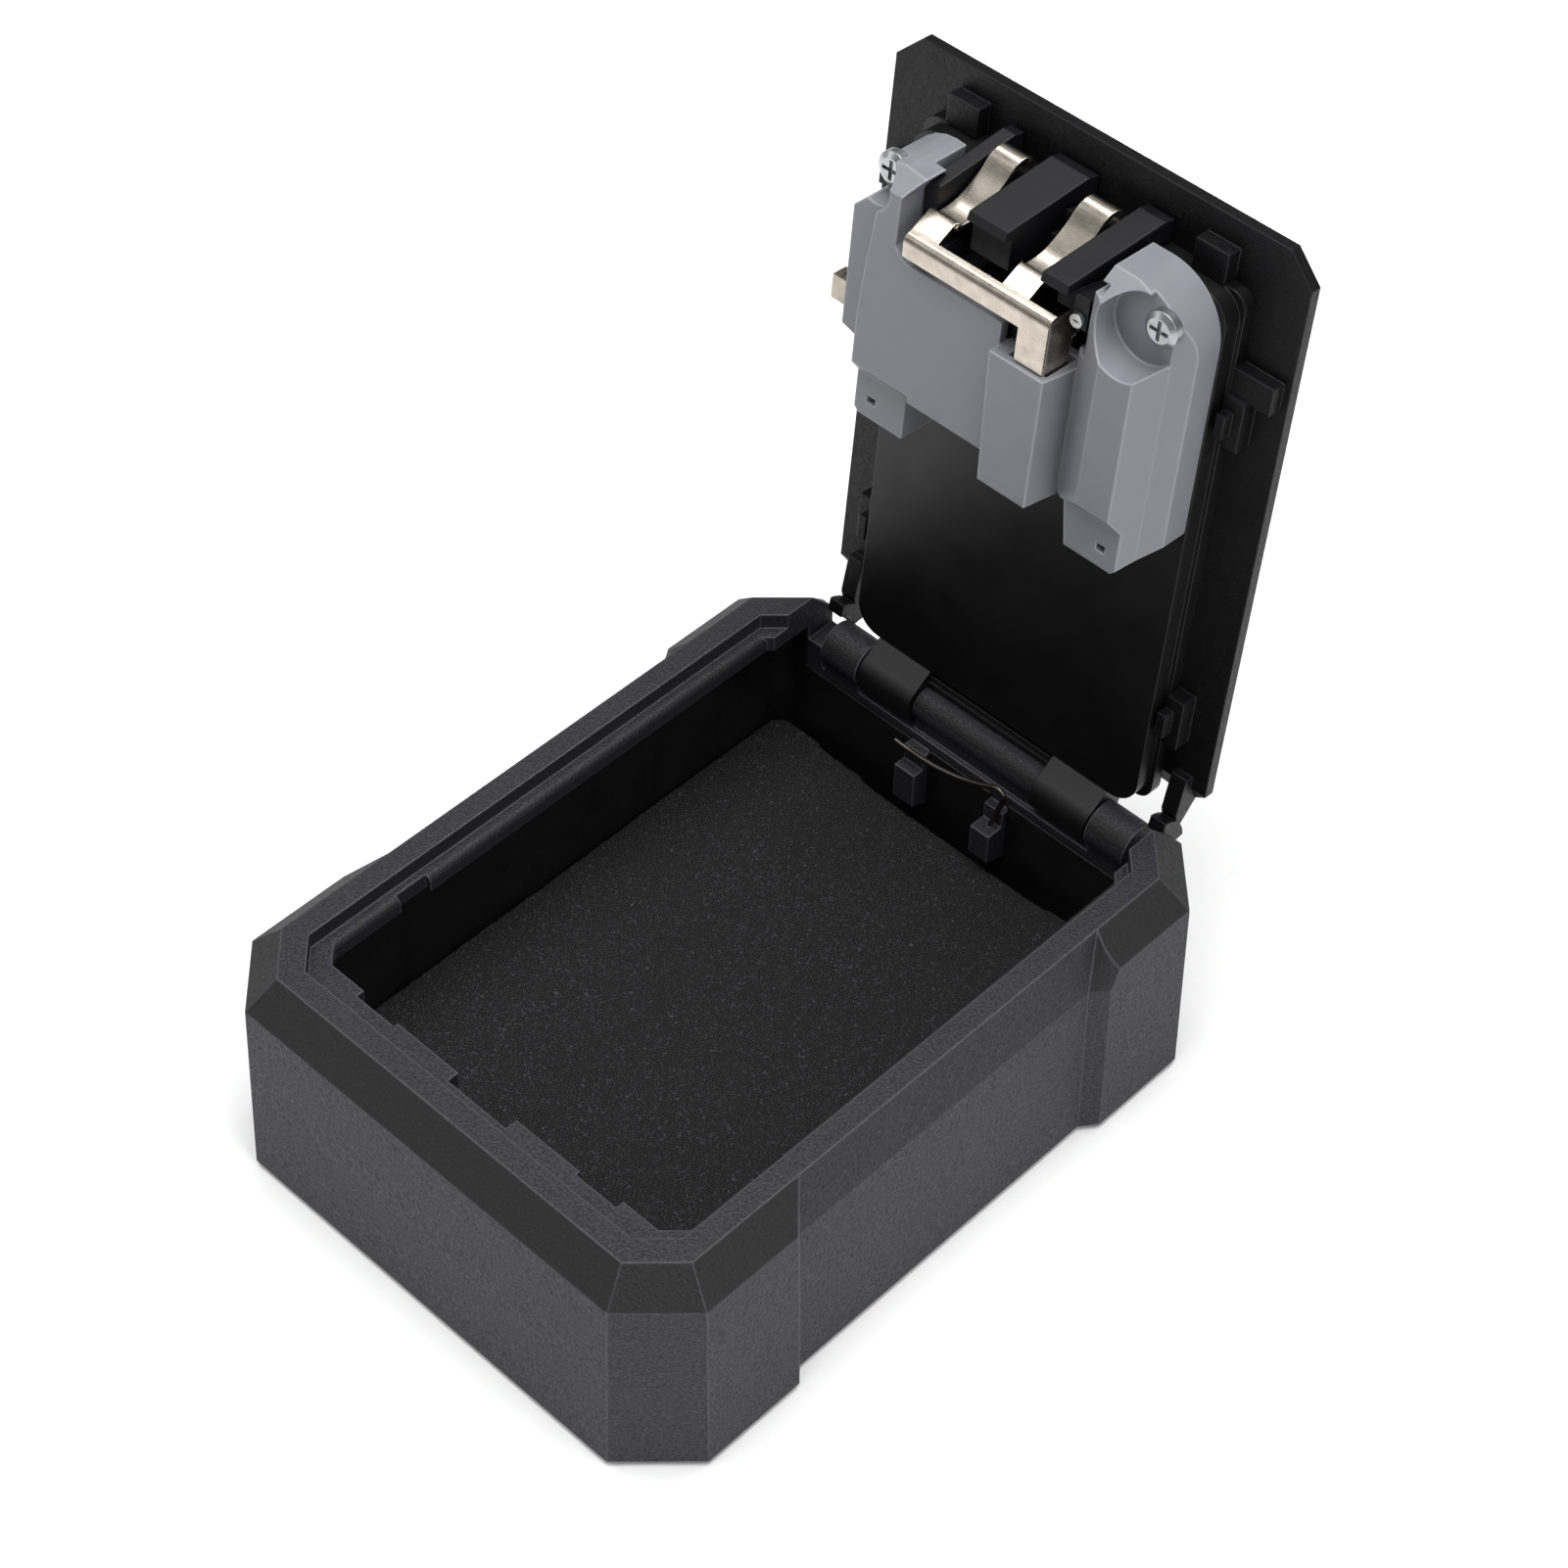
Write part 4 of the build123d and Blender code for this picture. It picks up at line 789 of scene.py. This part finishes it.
class KEYBOX_OT_latch(bpy.types.Operator):
    """Makes the bent latch strip with its two fingers, its slide and its guide"""

    bl_idname = "keybox.latch"
    bl_label = "Latch"

    def execute(self, context):
        settings, finish = context.scene.keybox_latch, context.scene.keybox_finish
        # nickel on rolled strip: warm and bright, smooth enough to mirror in soft bands
        nickel = worked_metal(
            "nickel_plated_strip_steel",
            finish.plating,
            "#a39a8f",
            0.22,
            0.3,
            (0.15, 1.0, 1.0),
            cloud_mm=2.2,
            relief=0.05,
        )
        strip = new_piece(
            "latch_strip", strip_mesh(settings.strip, settings.lean), nickel, "latch"
        )
        rounded(strip, 0.15, angle=50).harden_normals = True
        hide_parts("latch_plate")
        new_piece("latch_leg", leg_mesh(), nickel, "latch")

        # acetal from a plain mould: a soft, waxy black
        acetal = polished_plastic(
            "moulded_black_acetal", "#07070a", "#0e0e12", 0.4, 0.5, wave_mm=6.0, gloss=0.28
        )
        carriage = new_piece("latch_slide", slide_mesh(), acetal, "latch")
        rounded(carriage, 0.25)
        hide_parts("latch_carriage")
        guide = new_piece("latch_block", guide_mesh(settings.lean), acetal, "lid")
        rounded(guide, 0.35)
        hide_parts("latch_guide")
        return {"FINISHED"}


def window_cutter():
    """Opens the housing's left lobe over the guide's left wall."""
    form = bmesh.new()
    lid_bar(form, -21.3, -12.0, v_from=108.6, v_to=119.0, w_from=4.0, w_to=13.2)
    return finished_mesh(form, "cover_window")


def crown_cutter():
    """Takes the left lobe's upper end down to a low round crown."""
    left, right, top, bottom, height = -36, -11.3, 121, 3.1, 24
    centre_x, centre_v, radius, crown_v = -23.4, 104.3, 8.5, 112.0
    arc = [
        (centre_x - radius * math.cos(turn), centre_v + radius * math.sin(turn))
        for turn in (math.radians(15 * step) for step in range(7))
    ]
    outline = [(left, top), (left, centre_v), *arc, (right, crown_v), (right, top)]
    form = bmesh.new()
    face = form.faces.new([form.verts.new(in_lid(x, v, bottom)) for x, v in outline])
    draw_out(form, face, W_DIR * (height * MM))
    return finished_mesh(form, "cover_crown")


class KEYBOX_OT_housing(bpy.types.Operator):
    """Rounds the edges of the lock's moulded cover and opens it over the guide"""

    bl_idname = "keybox.housing"
    bl_label = "Lock housing"

    def execute(self, context):
        settings, finish = context.scene.keybox_latch, context.scene.keybox_finish
        mesh, form = merged_copy("lock_housing", 0.001)
        bmesh.ops.dissolve_limit(form, angle_limit=math.radians(1), verts=form.verts, edges=form.edges)
        form.to_mesh(mesh)
        form.free()
        rough = bpy.data.objects.new("cover_form", mesh)
        context.scene.collection.objects.link(rough)
        # no face of one cutter may lie in a face of the other, or the cuts leave slivers
        cutters = []
        for shape in (window_cutter(), crown_cutter()):
            cutter = bpy.data.objects.new(shape.name, shape)
            context.scene.collection.objects.link(cutter)
            cut = rough.modifiers.new(shape.name, "BOOLEAN")
            cut.object = cutter
            cut.solver = "EXACT"
            cutters.append(cutter)
        rounded(rough, settings.cover_round / MM, segments=3, angle=25)
        cover_mesh = baked(rough)
        for cutter in cutters:
            bpy.data.objects.remove(cutter)
        for face in cover_mesh.polygons:
            face.use_smooth = False
        # glass-filled nylon from a plain mould: a soft grey satin, with a painted highlight along its edges
        grey = polished_plastic(
            "moulded_grey_nylon",
            "#73747b",
            finish.housing,
            0.42,
            0.52,
            wave_mm=7.0,
            edge_mm=0.6,
            edge_highlight="#a9a9b0",
        )
        cover = new_piece("lock_cover", cover_mesh, grey, "lid")
        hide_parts("lock_housing")
        return {"FINISHED"}


class KEYBOX_OT_numerals(bpy.types.Operator):
    """Prints the numerals on the dials"""

    bl_idname = "keybox.numerals"
    bl_label = "Dial numerals"

    def execute(self, context):
        digit_size, ink_proud, digits = 3.9 * MM, 0.08 * MM, 10
        # pad-printed ink: flat white, slightly raised
        ink = plain_paint("pad_printed_white_ink", "#e6e6e2", 0.5)
        for number in range(1, 5):
            low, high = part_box(f"dial_{number}")
            centre = (low + high) / 2
            radius = (high.z - low.z) / 2
            form = bmesh.new()
            for digit in range(digits):
                curve = bpy.data.curves.new("digit", "FONT")
                curve.body = str(digit)
                curve.size = digit_size
                curve.align_x = "CENTER"
                curve.align_y = "CENTER"
                curve.extrude = ink_proud
                curve.resolution_u = 3
                writing = bpy.data.objects.new("digit", curve)
                mesh = bpy.data.meshes.new_from_object(writing)
                turn = math.radians(360 / digits * digit - 90)
                out = V_DIR * math.cos(turn) + W_DIR * math.sin(turn)
                up = V_DIR * math.sin(turn) - W_DIR * math.cos(turn)
                place = Matrix((Vector((1, 0, 0)), up, out)).transposed().to_4x4()
                place.translation = centre + out * radius
                mesh.transform(place)
                form.from_mesh(mesh)
                bpy.data.objects.remove(writing)
                bpy.data.curves.remove(curve)
                bpy.data.meshes.remove(mesh)
            joined = bpy.data.meshes.new(f"numerals_{number}")
            form.to_mesh(joined)
            form.free()
            new_piece(f"numerals_{number}", joined, ink, f"dial_{number}")
        return {"FINISHED"}


# ---- foam -----------------------------------------------------------------------------


class KEYBOX_OT_foam(bpy.types.Operator):
    """Makes the foam pad with its open cells"""

    bl_idname = "keybox.foam"
    bl_label = "Foam pad"

    def execute(self, context):
        settings, finish = context.scene.keybox_foam, context.scene.keybox_finish
        fine_waves, finer_waves, slow_waves = 620, 1240, 42  # per metre
        mesh, form = merged_copy("foam_pad", 0.01)
        bmesh.ops.recalc_face_normals(form, faces=form.faces)
        form.to_mesh(mesh)
        form.free()
        rough = bpy.data.objects.new("foam_form", mesh)
        context.scene.collection.objects.link(rough)
        remesh = rough.modifiers.new("cells", "REMESH")
        remesh.mode = "VOXEL"
        remesh.voxel_size = settings.voxel
        pad = baked(rough)
        low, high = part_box("foam_pad")
        top_from = low.z + 0.7 * (high.z - low.z)
        # the normals are read first, because they change as the points move
        normals = [vertex.normal.copy() for vertex in pad.vertices]
        for vertex, normal in zip(pad.vertices, normals):
            place = vertex.co.copy()
            cell = noise.noise(place * fine_waves) + 0.6 * noise.noise(place * finer_waves)
            place -= normal * settings.pit * max(0.0, cell)
            if place.z > top_from:
                place.z -= settings.sag * (0.5 + 0.5 * noise.noise(place * slow_waves))
            vertex.co = place
        for face in pad.polygons:
            face.use_smooth = True
        # sawn foam: light dies in the cells and only their torn ribs show
        material = cut_foam("sawn_conductive_foam", finish.foam, "#58585c", 0.5)
        piece = new_piece("foam_top", pad, material, "box")
        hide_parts("foam_pad")
        return {"FINISHED"}


# ---- studio ---------------------------------------------------------------------------

CAMERA_PLACE = (279.005, -289.113, 503.751)  # mm
CAMERA_AZIMUTH, CAMERA_ELEVATION, CAMERA_ROLL = 42.6746, 46.9087, 1.7169  # degrees
FOCAL_LENGTH, FRAME_SIDE = 3791.83, 1601  # pixels
SENSOR = 36  # mm


class KEYBOX_OT_studio(bpy.types.Operator):
    """Makes the floor, the lights and the camera"""

    bl_idname = "keybox.studio"
    bl_label = "Studio"

    def execute(self, context):
        settings = context.scene.keybox_studio
        scene = context.scene
        mesh = bpy.data.meshes.new("floor")
        form = bmesh.new()
        bmesh.ops.create_grid(form, x_segments=1, y_segments=1, size=settings.floor_size / 2)
        bmesh.ops.translate(form, verts=form.verts, vec=(0, 0, -0.2 * MM))
        form.to_mesh(mesh)
        form.free()
        # rolled matt paint: white, with no reflection of the box
        mesh.materials.append(plain_paint("matt_white_floor_paint", "#f4f4f4", 0.9))
        floor = bpy.data.objects.new("floor", mesh)
        scene.collection.objects.link(floor)

        world = bpy.data.worlds.new("studio")
        world.use_nodes = True
        background = world.node_tree.nodes["Background"]
        background.inputs["Color"].default_value = linear("#ffffff")
        background.inputs["Strength"].default_value = 0.2
        scene.world = world
        scene.view_settings.view_transform = "Standard"  # keeps the white floor white

        aim = Vector((0, 0, 0.05))
        left_share, right_share = 0.7, 1.3
        for name, place, size, power in (
            ("top_softbox", (0.05, -0.05, 1.4), 1.3, settings.top_power),
            ("left_softbox", (-1.1, -0.6, 0.8), 0.8, left_share * settings.side_power),
            ("right_softbox", (1.2, -0.1, 0.8), 0.8, right_share * settings.side_power),
        ):
            lamp = bpy.data.lights.new(name, "AREA")
            lamp.shape = "SQUARE"
            lamp.size = size
            lamp.energy = power
            light = bpy.data.objects.new(name, lamp)
            light.location = place
            light.rotation_euler = (aim - Vector(place)).to_track_quat("-Z", "Y").to_euler()
            scene.collection.objects.link(light)

        azimuth, elevation, roll = (
            math.radians(angle) for angle in (CAMERA_AZIMUTH, CAMERA_ELEVATION, CAMERA_ROLL)
        )
        back = Vector(
            (
                math.sin(azimuth) * math.cos(elevation),
                -math.cos(azimuth) * math.cos(elevation),
                math.sin(elevation),
            )
        )
        level = Vector((math.cos(azimuth), math.sin(azimuth), 0))
        rise = back.cross(level)
        right = level * math.cos(roll) + rise * math.sin(roll)
        up = rise * math.cos(roll) - level * math.sin(roll)
        lens = bpy.data.cameras.new("camera")
        lens.sensor_width = SENSOR
        lens.lens = SENSOR * FOCAL_LENGTH / FRAME_SIDE
        lens.clip_start, lens.clip_end = 0.01, 50
        camera = bpy.data.objects.new("camera", lens)
        turned = Matrix((right, up, back)).transposed().to_4x4()
        turned.translation = Vector(CAMERA_PLACE) * MM
        camera.matrix_world = turned
        scene.collection.objects.link(camera)
        scene.camera = camera
        return {"FINISHED"}


# ---- add-on ---------------------------------------------------------------------------


class KEYBOX_PT_panel(bpy.types.Panel):
    """Lists the steps and their settings"""

    bl_idname = "KEYBOX_PT_panel"
    bl_label = "Key box"
    bl_space_type = "VIEW_3D"
    bl_region_type = "UI"
    bl_category = "Key box"

    def draw(self, context):
        layout = self.layout
        for name in SETTINGS:
            group = getattr(context.scene, name)
            for setting in group.__annotations__:
                layout.prop(group, setting)
        for step in STEPS:
            layout.operator(step.bl_idname)


SETTINGS = {
    "keybox_finish": FinishSettings,
    "keybox_foam": FoamSettings,
    "keybox_latch": LatchSettings,
    "keybox_studio": StudioSettings,
}
STEPS = (
    KEYBOX_OT_studio,
    KEYBOX_OT_mouldings,
    KEYBOX_OT_frame_lip,
    KEYBOX_OT_metalwork,
    KEYBOX_OT_latch,
    KEYBOX_OT_housing,
    KEYBOX_OT_foam,
    KEYBOX_OT_numerals,
)
CLASSES = (*SETTINGS.values(), *STEPS, KEYBOX_PT_panel)


def register():
    for item in CLASSES:
        bpy.utils.register_class(item)
    for name, group in SETTINGS.items():
        setattr(bpy.types.Scene, name, bpy.props.PointerProperty(type=group))


def unregister():
    for name in SETTINGS:
        delattr(bpy.types.Scene, name)
    for item in reversed(CLASSES):
        bpy.utils.unregister_class(item)


def main():
    register()
    bpy.ops.keybox.studio()
    bpy.ops.keybox.mouldings()
    bpy.ops.keybox.frame_lip()
    bpy.ops.keybox.metalwork()
    bpy.ops.keybox.latch()
    bpy.ops.keybox.housing()
    bpy.ops.keybox.foam()
    bpy.ops.keybox.numerals()


if __name__ == "__main__":
    main()
